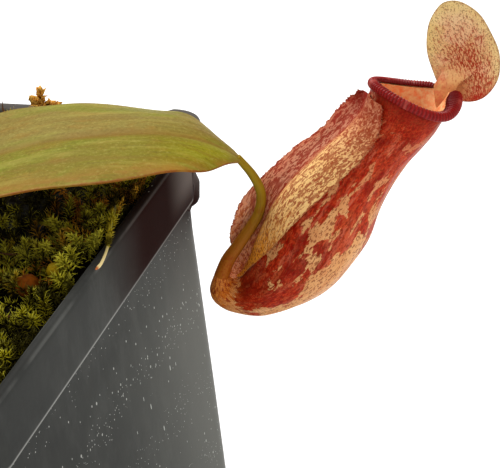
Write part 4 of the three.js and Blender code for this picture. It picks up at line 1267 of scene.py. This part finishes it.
def build_moss(settings):
    """Moss: the ground piece, and shoots in four quarters. Most lie down, those by the rim stand up
    and outward, and they root higher at the lit tufts and lower at the hollows."""
    rng = np.random.default_rng(settings.seed)
    body, values = build_moss_ground()
    # The ground under the shoots also gets an even painted shade of 0.85.
    finish = moss_finish("moss_ground", settings, 0.85)
    make_piece("moss_ground", body, finish, values, ["moss"])
    finish = moss_finish("moss_shoots", settings)
    spots = shoot_spots(rng, settings.spacing)
    quarters = (spots[:, 0] > 0) * 2 + (spots[:, 1] > 0)
    for quarter in range(4):
        at = spots[quarters == quarter]
        count, off, light = len(at), np.abs(at).max(1), moss_light(at)
        lying = rng.uniform(size=count) < 0.7
        lean = np.where(lying, rng.uniform(0.7, 1.4, count), np.abs(rng.normal(0, 0.5, count)))
        heading = rng.uniform(0, TURN, count)
        direction = np.stack([np.cos(heading), np.sin(heading), np.ones(count)])
        direction = (direction * (np.sin(lean), np.sin(lean), np.cos(lean))).T
        by_rim = (off > 55)[:, None]
        outside = np.concatenate([at / 55 * (np.abs(at) > 55), np.full((count, 1), 0.9)], 1)
        direction = unit(direction * (1, 1, 0.8) + by_rim * 0.1 * outside + by_rim * (0, 0, 0.5))
        height = MOSS_ROOTS + moss_wave(*at.T) + 1.6 * ripple(level_points(at), 13, 6)
        height = height + 3.0 * ramp(off, 50, 8) * np.clip((52 - at[:, 1]) / 8, -0.4, 1)
        roots = np.c_[at, height + TUFT_RISE * np.clip(light, -1, 0.6)]
        lengths = rng.uniform(4.6, 7.4, count) + 2.6 * (lean > 0.99)
        shape = settings.leaflets, settings.leaflet_length
        body, tone, tip = moss_shoots(rng, roots, direction, lengths, *shape)
        rust = np.clip(1.6 * ripple(level_points(at), 15, 8) - 0.95, 0, 1)
        for x, y, reach in RUST_PATCHES:
            rust = np.maximum(rust, (np.hypot(*(at - (x, y)).T) < reach) * 0.9)
        points = settings.leaflets * LEAFLET_POINTS
        values = {"tone": tone, "tip": tip, "rust": np.repeat(rust, points)}
        values["lit"] = np.repeat(light, points)
        body = inside_pot(body[0]), body[1]
        make_piece(f"moss_shoots_{quarter + 1}", body, finish, values, [], SMOOTH)


def on_moss(x, y, above):
    """A place at a height above the moss's plain level, carried by its waves."""
    return x, y, above + float(moss_wave(x, y))


def build_beads():
    """Amber beads of plant food that lie in the moss: spheres whose radius varies softly."""
    rng = np.random.default_rng(15)
    spots = [*SEEN_BEADS]
    for _ in range(15):
        place = on_moss(*rng.uniform(-54, 54, 2), 117.6)
        spots.append((*place, rng.uniform(1.3, 1.9), rng.uniform()))
    down = np.linspace(0.05, math.pi - 0.05, 18)[:, None]
    angle = round_angles(28)[None, :]
    ball = [np.sin(down) * np.cos(angle), np.sin(down) * np.sin(angle), np.cos(down)]
    ball = np.stack(np.broadcast_arrays(*ball), -1)
    bodies, tone = [], []
    for k, (x, y, z, radius, shade) in enumerate(spots):
        reach = radius * (1 + 0.07 * ripple(ball, 1.2, k) + 0.03 * ripple(ball, 0.5, k))
        bodies.append(loft(ball * reach[..., None] * (1, 1, 0.9) + (x, y, z)))
        tone.append(np.full(len(bodies[-1][0]), shade))
    f = Finish("amber_bead", IOR=1.2, Specular_IOR_Level=0.2)
    mottle = f.noise(f.place(), 1.2, 4)
    f.colour = f.blend(f.value("tone"), (116, 44, 4), (160, 132, 16))
    f.tint(f.rise(mottle, 0.4, 0.7), (52, 24, 5), 0.5)
    finish = f.done(f.scaled(mottle, 0.2, 0.5))
    values = {"tone": np.concatenate(tone)}
    make_piece("plant_food_beads", joined(*bodies), finish, values, [], SMOOTH)


def build_twigs():
    """Dry twig ends: thin curved tubes that taper to a point, one of them by the back rim."""
    rng = np.random.default_rng(31)
    spots = [SEEN_TWIG]
    for _ in range(9):
        place = on_moss(*rng.uniform(-50, 50, 2), 117.5)
        spots.append((*place, rng.uniform(0, TURN), rng.uniform(0, 0.7)))
    t = np.linspace(-0.5, 0.5, 12)[:, None]
    bodies = []
    for x, y, z, heading, rise in spots:
        ahead = unit(np.array([math.cos(heading), math.sin(heading), rise]))
        side = unit(np.cross(ahead, (0, 0, 1.0)))
        line = np.array([x, y, z]) + ahead * t * 5.5 + side * t**2 * 3.5
        bodies.append(pipe(line, np.tile(ahead, (12, 1)), 0.5 * (0.55 - t[:, 0]) + 0.05, 8))
    f = Finish("dry_twig", IOR=1.3)
    f.colour = f.blend(f.noise(f.place(), 0.9, 4), (40, 24, 12), (112, 70, 32))
    make_piece("dry_twigs", joined(*bodies), f.done(0.8), None, [], SMOOTH)


def build_stray_strand(settings):
    """The long strand that lies over the rim: one shoot whose leaflets follow a curved line, and
    whose bare cream tip hangs on the band."""
    t = np.linspace(0, 1, 60)
    path = smooth_rows(STRAND_LINE, t)
    rng = np.random.default_rng(4)
    place = rng.uniform(0, 0.6, 210)
    centre = smooth_rows(STRAND_LINE, place)
    ahead = unit(smooth_rows(STRAND_LINE, place + 0.02) - smooth_rows(STRAND_LINE, place - 0.02))
    around = unit(np.cross(ahead, rng.normal(size=ahead.shape)))
    length = rng.uniform(1.3, 2.6, (len(place), 1)) * (1.1 - place[:, None])
    tips = centre + unit(around * 1.1 - ahead * 0.8) * length
    leaflets = lances(centre, tips, np.full(len(place), 0.34), around * 0.2)
    radius = np.interp(t, [0, 0.6, 0.93, 1], [0.3, 0.3, 0.36, 0.12])
    stalk = pipe(path, unit(np.gradient(path, axis=0)), radius, 8)
    f = Finish("strand_stalk", IOR=1.3)
    along = f.value("along")
    f.colour = f.blend(f.rise(along, 0.45, 0.75), (150, 140, 36), (240, 216, 150))
    f.tint(f.rise(along, 0.88, 0.96), (196, 108, 48))
    values = {"along": capped(np.repeat(t, 8), 0, 1.0)}
    make_piece("strand_stalk", stalk, f.done(0.5), values, [], SMOOTH)
    tip = np.tile([0.4, 0.7, 0.7, 0.7, 0.85], len(place))
    values = {"tone": np.ones(len(tip)), "tip": tip, "rust": np.full(len(tip), 0.12)}
    finish = moss_finish("moss_strand", settings)
    make_piece("moss_strand", leaflets, finish, values, [], SMOOTH)


def build_sprig():
    """Orange-brown sprig: stout shoots with broad leaflets on a short stalk by the back rim."""
    rng = np.random.default_rng(3)
    shoots = np.array(SPRIG_SHOOTS)
    roots, headings, lengths = shoots[:, :3], unit(shoots[:, 3:6]), shoots[:, 6]
    body, tone, tip = moss_shoots(rng, roots, headings, lengths, 17, 3.1, (48, 8), 0.66)
    f = Finish("ochre_sprig", IOR=1.3, Specular_IOR_Level=0.3)
    f.colour = f.blend(f.value("tone"), (204, 126, 34), (248, 196, 88))
    # Painted shade: darker towards the leaflets' roots.
    f.tint(f.rise(f.value("tip"), 0.5, 0.05), (96, 50, 10))
    f.tint(f.rise(f.noise(f.place(), 0.8, 4), 0.55, 0.7), (140, 78, 16))
    values = {"tone": tone, "tip": tip}
    make_piece("rust_sprig", body, f.done(0.55), values, ["moss_sprig"], SMOOTH)


def build_stem():
    """Stem: circles whose radius follows a table and swells at a spiral of old leaf scars."""
    height = np.linspace(84.3, 127, 90)
    radius = np.interp(height, *zip(*STEM_RADII))
    angle = round_angles(40)
    spiral = (height[:, None] / 5.2 + angle[None, :] / TURN * 2) % 1
    scar = bell(spiral, 0.12, 0.5)
    reach = radius[:, None] * 0.97 + 0.25 * scar - 0.15
    level = np.broadcast_to(height[:, None], reach.shape)
    rings = np.stack([reach * np.cos(angle), reach * np.sin(angle), level], -1)
    values = {"scar": capped(scar.ravel(), 0, 0)}
    make_piece("plant_stem", loft(rings), stem_finish(), values, ["stem"])


def build_young_leaf(finish):
    """Young leaf: a spiral section, whose radius grows a little round the turn and steps back at the
    seam, carried up a line that leans over."""
    t = np.linspace(0, 1, 70)
    row = smooth_rows(YOUNG_LEAF_STATIONS, t)
    along, radius = row[:, 0:1], row[:, 1:2]
    angle = round_angles(48)
    seam = (angle[None, :] / TURN - t[:, None] * 0.55) % 1
    reach = radius * (0.86 + 0.24 * seam + 0.015 * np.cos(angle[None, :] * 12))
    x, y = reach * np.cos(angle) - 0.004 * along**2, reach * np.sin(angle) - 0.006 * along**2
    rings = np.stack(np.broadcast_arrays(x, y, 127.3 + along), -1)
    across = capped((seam * 1.6 - 0.8).ravel(), 0, 0)
    place = capped(np.broadcast_to(along, reach.shape).ravel(), 0, 31)
    values = {
        "across": across,
        "along": np.full(len(place), 0.5),
        "grain": np.stack([place, across * 8, np.zeros(len(place))], -1),
    }
    make_piece("rolled_leaf", loft(rings), finish, values, ["young_leaf"], 50)


def build_leaves(settings):
    """Leaf blades: at each place along, a cross-section that rises towards both edges by the square
    of the distance, dips in a keel at the midrib and waves at the edges; the underside carries a
    rounded midrib, and the blade thins towards its margin."""
    finish = leaf_finish(settings)
    for number, (_, size, _) in LEAVES.items():
        rows, columns = (150, 49) if number == 1 else (90, 33)
        t = np.linspace(0, 1, rows)[:, None]
        share = np.linspace(-1, 1, columns)[None, :]
        out, up, half, far, near = (v[:, None] for v in smooth_rows(BLADE_STATIONS, t[:, 0]).T)
        inner = np.abs(share) * half
        rise = np.where(share > 0, far, near) * share**2
        keel = 0.55 * bell(inner, 1.6) * np.minimum(half / 8, 1)
        wave = 0.35 * np.sin(27 * t + np.where(share > 0, 0, 2)) * share**4
        drift = 0.25 * np.sin(t * 9 + number) * share**2 * np.sin(t * math.pi)
        veins = 0.04 * np.cos(np.abs(share) * 6 * math.pi) * np.minimum(half / 10, 1)
        height = up + rise + (wave + drift + veins - keel)
        grid = np.stack(np.broadcast_arrays(out, half * share, height), -1)
        thick = settings.thickness * (1 - 0.5 * np.abs(share) ** 3) / size
        rib = 0.75 * bell(inner, 0.95) * np.minimum(half / 3, 1)
        points, faces = shell(grid, thick / 2 + 0 * t, thick / 2 + rib)
        across, along, out = np.broadcast_arrays(share, t, out)
        grain = np.stack([out, half * share, np.full((rows, columns), number * 31.0)], -1)
        values = {
            "across": np.tile(across.ravel(), 2),
            "along": np.tile(along.ravel(), 2),
            "grain": np.tile(grain.reshape(-1, 3), (2, 1)),
        }
        body = stand(points, number), faces
        make_piece(f"leaf_blade_{number}", body, finish, values, [f"leaf_{number}"], 60)


def build_tendrils():
    """Tendrils: round tubes on a smooth line that hangs from each leaf's tip, or seeks upward."""
    finish = tendril_finish()
    for number in LEAVES:
        stations = SEEKING_STATIONS if number in (2, 5) else TENDRIL_STATIONS
        rings, along = tube(stations, 90, 20, number)
        values = {"along": capped(along.ravel(), 0, 1), "grain": tube_grain(along, 40, 1.3)}
        body, solid = loft(rings), [f"tendril_{number}"]
        make_piece(f"hanging_tendril_{number}", body, finish, values, solid, 60)


def cup_grain(along, angle):
    """Pattern place on the pitcher: its length in millimetres, and a circle round it."""
    place = along * CUP_LENGTH, CUP_RADIUS * np.cos(angle * RAD), CUP_RADIUS * np.sin(angle * RAD)
    return np.stack(np.broadcast_arrays(*place), -1)


def cup_swell(along, angle):
    """Swelling of the pitcher's back: its value along the pitcher, faded out towards the sides by a
    cosine."""
    swell = smooth_rows(np.array(CUP_SWELL)[:, None], along)[..., 0]
    return swell * np.clip(np.cos((angle - 20) * RAD), 0, 1)


def build_cup(number, finish):
    """Pitcher: oval sections from the tendril up the outside, over the rim and down the inside, with
    faint lengthwise nerves and soft dents on the outside."""
    columns, rows, rows_inside = 112, 130, 60
    angle = np.arange(columns) * 360 / columns
    outer = np.linspace(0, 1, rows)[:, None]
    nerves = 0.09 * np.cos(angle * RAD * 14) * np.sin(outer * math.pi) ** 0.5
    dents = 0.16 * ripple(cup_grain(outer, angle), 9, 2 + number)
    outside = on_cup(outer, angle, nerves + dents * np.sin(outer * math.pi) + cup_swell(outer, angle))
    inner = np.linspace(1, CUP_INSIDE_START, rows_inside)[:, None]
    wall = np.where(inner < 0.26, -3.4 * CUP_WALL, -CUP_WALL)
    inside = on_cup(inner, angle, wall + cup_swell(inner, angle))
    along, turn = np.broadcast_arrays(np.concatenate([outer, inner]), angle)
    grain = cup_grain(along, turn).reshape(-1, 3) + (0, 0, number * 17.0)
    hollow = np.repeat([0, 1], [rows * columns, rows_inside * columns])
    values = {
        "along": capped(along.ravel(), 0, CUP_INSIDE_START),
        "inside": capped(hollow, 0, 1),
        "grain": capped(grain, (0, 0, 0), (20, 0, 0)),
    }
    body = loft(stand(np.concatenate([outside, inside]), number))
    make_piece(f"pitcher_cup_{number}", body, finish, values, [f"cup_{number}"], 50)


def build_wings(number, settings, finishes):
    """Wings: the near one is a strip laid over the pitcher's side from its front line, arched off it
    and free at its edge; the far one stands out from the front. Both edges are frayed by waves of
    several lengths, and carry a row of tapering hairs."""
    rng = np.random.default_rng(20 + number)
    rows, columns, hair_count = 240, 20, 300
    t = np.linspace(0, 1, rows)[:, None]
    share = np.linspace(0, 1, columns)[None, :]
    ragged = 0.16 * rng.normal(size=rows)[:, None]
    fray = (0.1 * np.sin(t * 92) + 0.1 * np.sin(t * 211 + 1) + ragged) * (0.6 + 1.2 * t**6)
    place, edge_angle, stand_off = (v[:, None] for v in smooth_rows(NEAR_WING, t[:, 0]).T)
    lift = np.interp(share, [0, 0.15, 0.35, 0.6, 1], [-0.3, 0.35, 0.95, 1.15, 0.95])
    start = NEAR_WING_ROOT + 16 * ramp(place, 0.34, -0.2)
    turn = start + (edge_angle - start) * share - 2.0 * (fray * share**6)
    off = np.where(share < 0.03, -0.6, lift * stand_off)
    near_along = np.broadcast_to(place, turn.shape)
    strip = on_cup(near_along, turn, off)
    far = smooth_rows(FAR_WING, t[:, 0])
    root = on_cup(far[:, 0], FAR_WING_ROOT, -0.7)
    free = np.stack([far[:, 1], FAR_WING_SIDE * np.clip(t[:, 0] * 6, 0.1, 1), far[:, 2]], -1)
    reach = np.linalg.norm(free - root, axis=-1)[:, None]
    long = (share * (1 + 0.9 * fray / reach * share**3))[..., None]
    sail = root[:, None] * (1 - long) + free[:, None] * long
    belly = 1.3 * np.sin(share * math.pi) + 0.3 * share * np.sin(t * 38)
    sail[..., 1] += belly * np.clip(t * 5, 0.1, 1)
    far_along = np.broadcast_to(far[:, 0:1], turn.shape)
    for name, grid, thinning, finish, along in (
        ("near_wing", strip, 0.2, finishes[0], near_along),
        ("far_wing", sail, 0.22, finishes[1], far_along),
    ):
        thick = 0.36 - thinning * share + 0 * t
        width = np.cumsum(np.linalg.norm(np.diff(grid, axis=1), axis=-1), 1)
        width = np.concatenate([np.zeros((rows, 1)), width], 1)
        grain = np.stack([along * CUP_LENGTH, width, np.full(width.shape, number * 13.0)], -1)
        hair_row = rng.integers(2, rows - 2, hair_count)
        edge = grid[:, -1]
        ahead, away = unit(np.gradient(edge, axis=0))[hair_row], unit(edge - grid[:, -3])[hair_row]
        foot = edge[hair_row] - away * 0.25
        lean = away + ahead * rng.normal(0.1, 0.45, (hair_count, 1))
        lean = lean + rng.normal(0, 0.25, (hair_count, 3))
        length = settings.hair_length * rng.uniform(0.35, 1.1, (hair_count, 1))
        hairs, hair_faces = spikes(foot, foot + unit(lean) * length, np.full(hair_count, 0.11))
        values = {
            "across": np.tile(np.broadcast_to(share, width.shape).ravel(), 2),
            "grain": np.tile(grain.reshape(-1, 3), (2, 1)),
        }
        points, faces = shell(grid, thick, thick)
        body, solid = (stand(points, number), faces), [f"cup_{number}"]
        make_piece(f"{name}_{number}", body, finish, values, solid, 60)
        body, values = (stand(hairs, number), hair_faces), {"tip": np.tile(SPIKE_TIP, hair_count)}
        make_piece(f"{name}_hairs_{number}", body, finishes[2], values, solid, SMOOTH)


def build_lip(number, settings, finish):
    """Lip: a rounded rolled section carried round the mouth from one side of the lid's neck to the
    other, swollen by a rib that rises and falls as the square of a cosine. Its ends taper, and its
    inner side is broad on the near side of the lid."""
    section = np.array(LIP_SECTION)
    closed = np.concatenate([section[-2:], section, section[:3]])
    count = 26
    place = (1 + np.arange(count) / count * len(section) + 1) / (len(closed) - 1)
    profile = smooth_rows(closed, place)
    steps = settings.ribs * 6
    along = np.linspace(0, 1, steps)
    angle = NECK_ANGLE + NECK_HALF_ANGLE + (360 - 2 * NECK_HALF_ANGLE) * along
    rim = on_cup(1, angle)
    outside = unit(on_cup(1, angle, 1) - rim)
    ahead = unit(on_cup(1, angle + 1) - on_cup(1, angle - 1))
    upward = unit(np.cross(outside, ahead))
    upward[upward[:, 2] < 0] *= -1
    rib = np.cos(along * settings.ribs * math.pi) ** 2
    middle = profile.mean(0)
    ends = np.minimum(1, np.minimum(np.arange(steps) + 2, np.arange(steps)[::-1]) / 26 + 0.4)
    ends = ends * (1 - 0.14 * bell(angle, 50, 130))
    broad = 1 + 0.9 * bell(angle, 24, 24)
    swell = (1 + (rib[:, None] - 0.5) * settings.rib_height * (profile[:, 1] > -0.4) * 0.9)[..., None]
    drawn = middle + (profile - middle)[None] * swell * ends[:, None, None]
    drawn[..., 0] *= np.where(drawn[..., 0] < 0, broad[:, None], 1)
    rings = rim[:, None] + outside[:, None] * drawn[..., 0:1] + upward[:, None] * drawn[..., 1:2]
    grain = [np.repeat(along * 60, count), *np.tile(profile.T, steps)]
    values = {
        "rib": capped(np.repeat(rib, count), 0, 0),
        "grain": capped(np.stack(grain, -1), (0, 0, 0), (60, 0, 0)),
    }
    body = loft(stand(rings, number))
    make_piece(f"ribbed_lip_{number}", body, finish, values, [f"peristome_{number}"], 70)


def build_lid(number, finish):
    """Lid: an egg-shaped plate, hollowed by the square of the distance from its middle, with a
    slightly waved margin and a keel, and a strap that climbs its back from inside the mouth."""
    foot = on_cup(1, NECK_ANGLE, -0.55) + (0, 0, LID_FOOT_GAP)
    front = np.array([-math.cos(LID_FACE * RAD), math.sin(LID_FACE * RAD), 0])
    across = np.array([-front[1], front[0], 0])
    c, s = math.cos(LID_LEAN * RAD), math.sin(LID_LEAN * RAD)
    upward, forward = np.array([0, 0, c]) - front * s, front * c + np.array([0, 0, s])

    def in_plane(a, u, f):
        a, u, f = (np.asarray(v, float)[..., None] for v in np.broadcast_arrays(a, u, f))
        return foot + across * a + upward * u + forward * f

    share = np.linspace(0.02, 1, 34)[:, None]
    angle = round_angles(88)[None, :]
    a = LID_HALF[0] * share * np.cos(angle) * (1 - 0.1 * np.sin(angle))
    u = LID_HALF[1] * share * np.sin(angle) + 0 * a
    wave = 0.22 * share**4 * np.sin(angle * 5 + 1) + 0.12 * share**3 * np.sin(angle * 9)
    keel = 0.35 * bell(a, 1.4) * (1 - share**2)
    depth = LID_HOLLOW * share**2 - LID_SETBACK + wave
    thin = 0.42 - 0.2 * share**3
    x, y = turned(a, u, LID_ROLL)
    x, y = x + LID_MIDDLE[0], y + LID_MIDDLE[1]
    rings = np.concatenate([in_plane(x, y, depth + thin), in_plane(x, y, depth - thin - keel)[::-1]])
    plate = loft(stand(rings, number))
    strap = smooth_rows(NECK_STATIONS, np.linspace(0, 1, 26))
    middle, above, half, thick, setback = (v[:, None] for v in strap.T)
    turn = round_angles(20)
    beside = middle + half * np.cos(turn)
    neck = loft(stand(in_plane(beside, above, thick * np.sin(turn) - setback), number))
    neck_side, neck_tall = turned(beside - LID_MIDDLE[0], above - LID_MIDDLE[1], -LID_ROLL)
    neck_foot = np.clip(1.1 - above / 4.5, 0, 1) + 0 * beside
    plate_foot = np.clip(1.1 - np.hypot((x - 0.8) / 1.1, y) / 4.8, 0, 1)

    def both(on_plate, on_neck, last=(0, 0)):
        """Values of the plate's points, front and back, and of the neck's, each with its ends'."""
        on_plate = on_plate + 0 * a
        plate_rows = capped(np.concatenate([on_plate, on_plate[::-1]]).ravel(), 0, 0)
        return np.concatenate([plate_rows, on_neck.ravel(), last])

    # The neck's value runs in the front's order on the back too, so that the flesh colour there lies
    # nearer the middle
    values = {
        "across": both(a / LID_HALF[0], neck_side / LID_HALF[0]),
        "upward": both(u / LID_HALF[1], neck_tall / LID_HALF[1], (-0.8, -0.4)),
        "rim": both(share, 0 * neck_foot),
        "neck": np.concatenate([*[plate_foot.ravel()] * 2, [0, 0], neck_foot.ravel(), [1, 0]]),
    }
    make_piece(f"pitcher_lid_{number}", joined(plate, neck), finish, values, [f"lid_{number}"], 60)


def build_bud(finish, hair):
    """Closed young pitcher: a tube through its stations, raised along two lines for the wings that
    it will open, with short hairs."""
    rows, columns, hair_count = 80, 40, 260
    rings, along = tube(BUD_STATIONS, rows, columns, 3)
    middle = rings.mean(1, keepdims=True)
    angle = round_angles(columns)
    ridges = 1 + 0.1 * bell(angle, 0.16, math.pi - 0.5) + 0.1 * bell(angle, 0.16, math.pi + 0.5)
    rings = middle + (rings - middle) * ridges[None, :, None]
    values = {
        "along": capped(0.2 + 0.4 * along.ravel(), 0.2, 0.6),
        "inside": np.zeros(along.size + 2),
        "grain": tube_grain(along, 30, 4),
    }
    make_piece("pitcher_bud_3", loft(rings), finish, values, ["bud_3"], 60)
    rng = np.random.default_rng(9)
    row, column = rng.integers(2, rows - 2, hair_count), rng.integers(0, columns, hair_count)
    start = rings[row, column]
    away = unit(start - middle[row, 0] + rng.normal(0, 0.5, (hair_count, 3)))
    tips = start + away * rng.uniform(0.4, 0.9, (hair_count, 1))
    hairs = spikes(start - away * 0.1, tips, np.full(hair_count, 0.09))
    values = {"tip": np.tile(SPIKE_TIP, hair_count)}
    make_piece("bud_hairs_3", hairs, hair, values, ["bud_3"], SMOOTH)


# Operators


class PLANT_OT_pot(bpy.types.Operator):
    """Add the square nursery pot, and give the growing medium its bark finish"""

    bl_idname = "plant.pot"
    bl_label = "Nursery Pot"

    def execute(self, context):
        build_pot(context.scene.plant_pot)
        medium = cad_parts["growing_medium"]
        medium.data.materials.clear()
        medium.data.materials.append(bark_mix())
        return {"FINISHED"}


class PLANT_OT_moss(bpy.types.Operator):
    """Add the moss bed, its shoots, beads and twigs, the strand on the rim and the sprig"""

    bl_idname = "plant.moss"
    bl_label = "Moss"

    def execute(self, context):
        settings = context.scene.plant_moss
        build_moss(settings)
        build_beads()
        build_twigs()
        build_stray_strand(settings)
        build_sprig()
        return {"FINISHED"}


class PLANT_OT_leaves(bpy.types.Operator):
    """Add the stem, the rolled young leaf and the five leaf blades"""

    bl_idname = "plant.leaves"
    bl_label = "Stem and Leaves"

    def execute(self, context):
        build_stem()
        build_young_leaf(leaf_finish(context.scene.plant_leaf))
        build_leaves(context.scene.plant_leaf)
        return {"FINISHED"}


class PLANT_OT_tendrils(bpy.types.Operator):
    """Add the tendrils that hang from the leaves' tips"""

    bl_idname = "plant.tendrils"
    bl_label = "Tendrils"

    def execute(self, context):
        build_tendrils()
        return {"FINISHED"}


class PLANT_OT_pitchers(bpy.types.Operator):
    """Add the two open pitchers with their wings, and the closed bud"""

    bl_idname = "plant.pitchers"
    bl_label = "Pitchers"

    def execute(self, context):
        settings = context.scene.plant_pitcher
        skin, hair = pitcher_finish(), hair_finish()
        finishes = (*(wing_finish(*look) for look in WING_LOOKS), hair)
        for number in OPEN_PITCHERS:
            build_cup(number, skin)
            build_wings(number, settings, finishes)
        build_bud(skin, hair)
        return {"FINISHED"}


class PLANT_OT_lips(bpy.types.Operator):
    """Add the ribbed lips round the pitchers' mouths, and their lids"""

    bl_idname = "plant.lips"
    bl_label = "Lips and Lids"

    def execute(self, context):
        settings = context.scene.plant_pitcher
        lip, lid = lip_finish(settings), lid_finish(settings)
        for number in OPEN_PITCHERS:
            build_lip(number, settings, lip)
            build_lid(number, lid)
        return {"FINISHED"}


def add_floor(settings):
    """A square floor under the part, which isn't one of its pieces."""
    mesh = bpy.data.meshes.new("studio_floor")
    mesh.from_pydata([(-4, -4, 0), (4, -4, 0), (4, 4, 0), (-4, 4, 0)], [], [(0, 1, 2, 3)])
    mesh.materials.append(studio_floor(settings))
    floor = bpy.data.objects.new("studio_floor", mesh)
    bpy.context.scene.collection.objects.link(floor)


def add_lights(settings):
    """An even white sky and two large soft lights."""
    world = bpy.data.worlds.new("soft_sky")
    world.use_nodes = True
    sky = world.node_tree.nodes["Background"]
    sky.inputs[0].default_value = (1, 1, 1, 1)
    sky.inputs[1].default_value = settings.sky
    bpy.context.scene.world = world
    for name, size, place, aim in LIGHTS:
        lamp = bpy.data.lights.new(f"{name}_light", "AREA")
        lamp.energy, lamp.size = getattr(settings, f"{name}_power"), size
        made = bpy.data.objects.new(f"{name}_light", lamp)
        made.location = place
        made.rotation_euler = (Vector(aim) - Vector(place)).to_track_quat("-Z", "Y").to_euler()
        bpy.context.scene.collection.objects.link(made)


def add_camera():
    """The photograph's camera: turned round the upright, pitched down and rolled."""
    lens = bpy.data.cameras.new("photo_camera")
    lens.sensor_fit, lens.sensor_width, lens.lens = "HORIZONTAL", 36.0, CAMERA_LENS
    lens.clip_start, lens.clip_end = 0.01, 20
    azimuth, pitch, roll = (angle * RAD for angle in CAMERA_ANGLES)
    level = Vector((math.cos(azimuth), math.sin(azimuth), 0))
    flat = math.cos(pitch)
    ahead = Vector((-math.sin(azimuth) * flat, math.cos(azimuth) * flat, -math.sin(pitch)))
    above = level.cross(ahead)
    right = level * math.cos(roll) - above * math.sin(roll)
    up = above * math.cos(roll) + level * math.sin(roll)
    place = Matrix((right, up, -ahead)).transposed().to_4x4()
    place.translation = Vector(CAMERA_PLACE) * MM
    camera = bpy.data.objects.new("photo_camera", lens)
    camera.matrix_world = place
    bpy.context.scene.collection.objects.link(camera)
    bpy.context.scene.camera = camera


class PLANT_OT_stage(bpy.types.Operator):
    """Add the pale floor, the soft lights and the camera"""

    bl_idname = "plant.stage"
    bl_label = "Stage"

    def execute(self, context):
        settings = context.scene.plant_stage
        add_floor(settings)
        add_lights(settings)
        add_camera()
        context.scene.view_settings.view_transform = "Standard"
        return {"FINISHED"}


PIECES = (
    PLANT_OT_pot,
    PLANT_OT_moss,
    PLANT_OT_leaves,
    PLANT_OT_tendrils,
    PLANT_OT_pitchers,
    PLANT_OT_lips,
    PLANT_OT_stage,
)
SETTINGS = {
    "plant_pot": PotSettings,
    "plant_moss": MossSettings,
    "plant_leaf": LeafSettings,
    "plant_pitcher": PitcherSettings,
    "plant_stage": StageSettings,
}


class PLANT_PT_panel(bpy.types.Panel):
    """Sizes, colours and pieces of the potted pitcher plant"""

    bl_idname = "PLANT_PT_panel"
    bl_label = "Pitcher Plant"
    bl_space_type = "VIEW_3D"
    bl_region_type = "UI"
    bl_category = "Pitcher Plant"

    def draw(self, context):
        for name, group in SETTINGS.items():
            box = self.layout.box()
            box.label(text=group.__doc__)
            for key in group.__annotations__:
                box.prop(getattr(context.scene, name), key)
        for piece in PIECES:
            self.layout.operator(piece.bl_idname)


def register():
    for kind in (*SETTINGS.values(), *PIECES, PLANT_PT_panel):
        bpy.utils.register_class(kind)
    for name, group in SETTINGS.items():
        setattr(bpy.types.Scene, name, PointerProperty(type=group))


def unregister():
    for name in SETTINGS:
        delattr(bpy.types.Scene, name)
    for kind in reversed((*SETTINGS.values(), *PIECES, PLANT_PT_panel)):
        bpy.utils.unregister_class(kind)


def main():
    register()
    bpy.ops.plant.stage()
    bpy.ops.plant.pot()
    bpy.ops.plant.moss()
    bpy.ops.plant.leaves()
    bpy.ops.plant.tendrils()
    bpy.ops.plant.pitchers()
    bpy.ops.plant.lips()


if __name__ == "__main__":
    main()
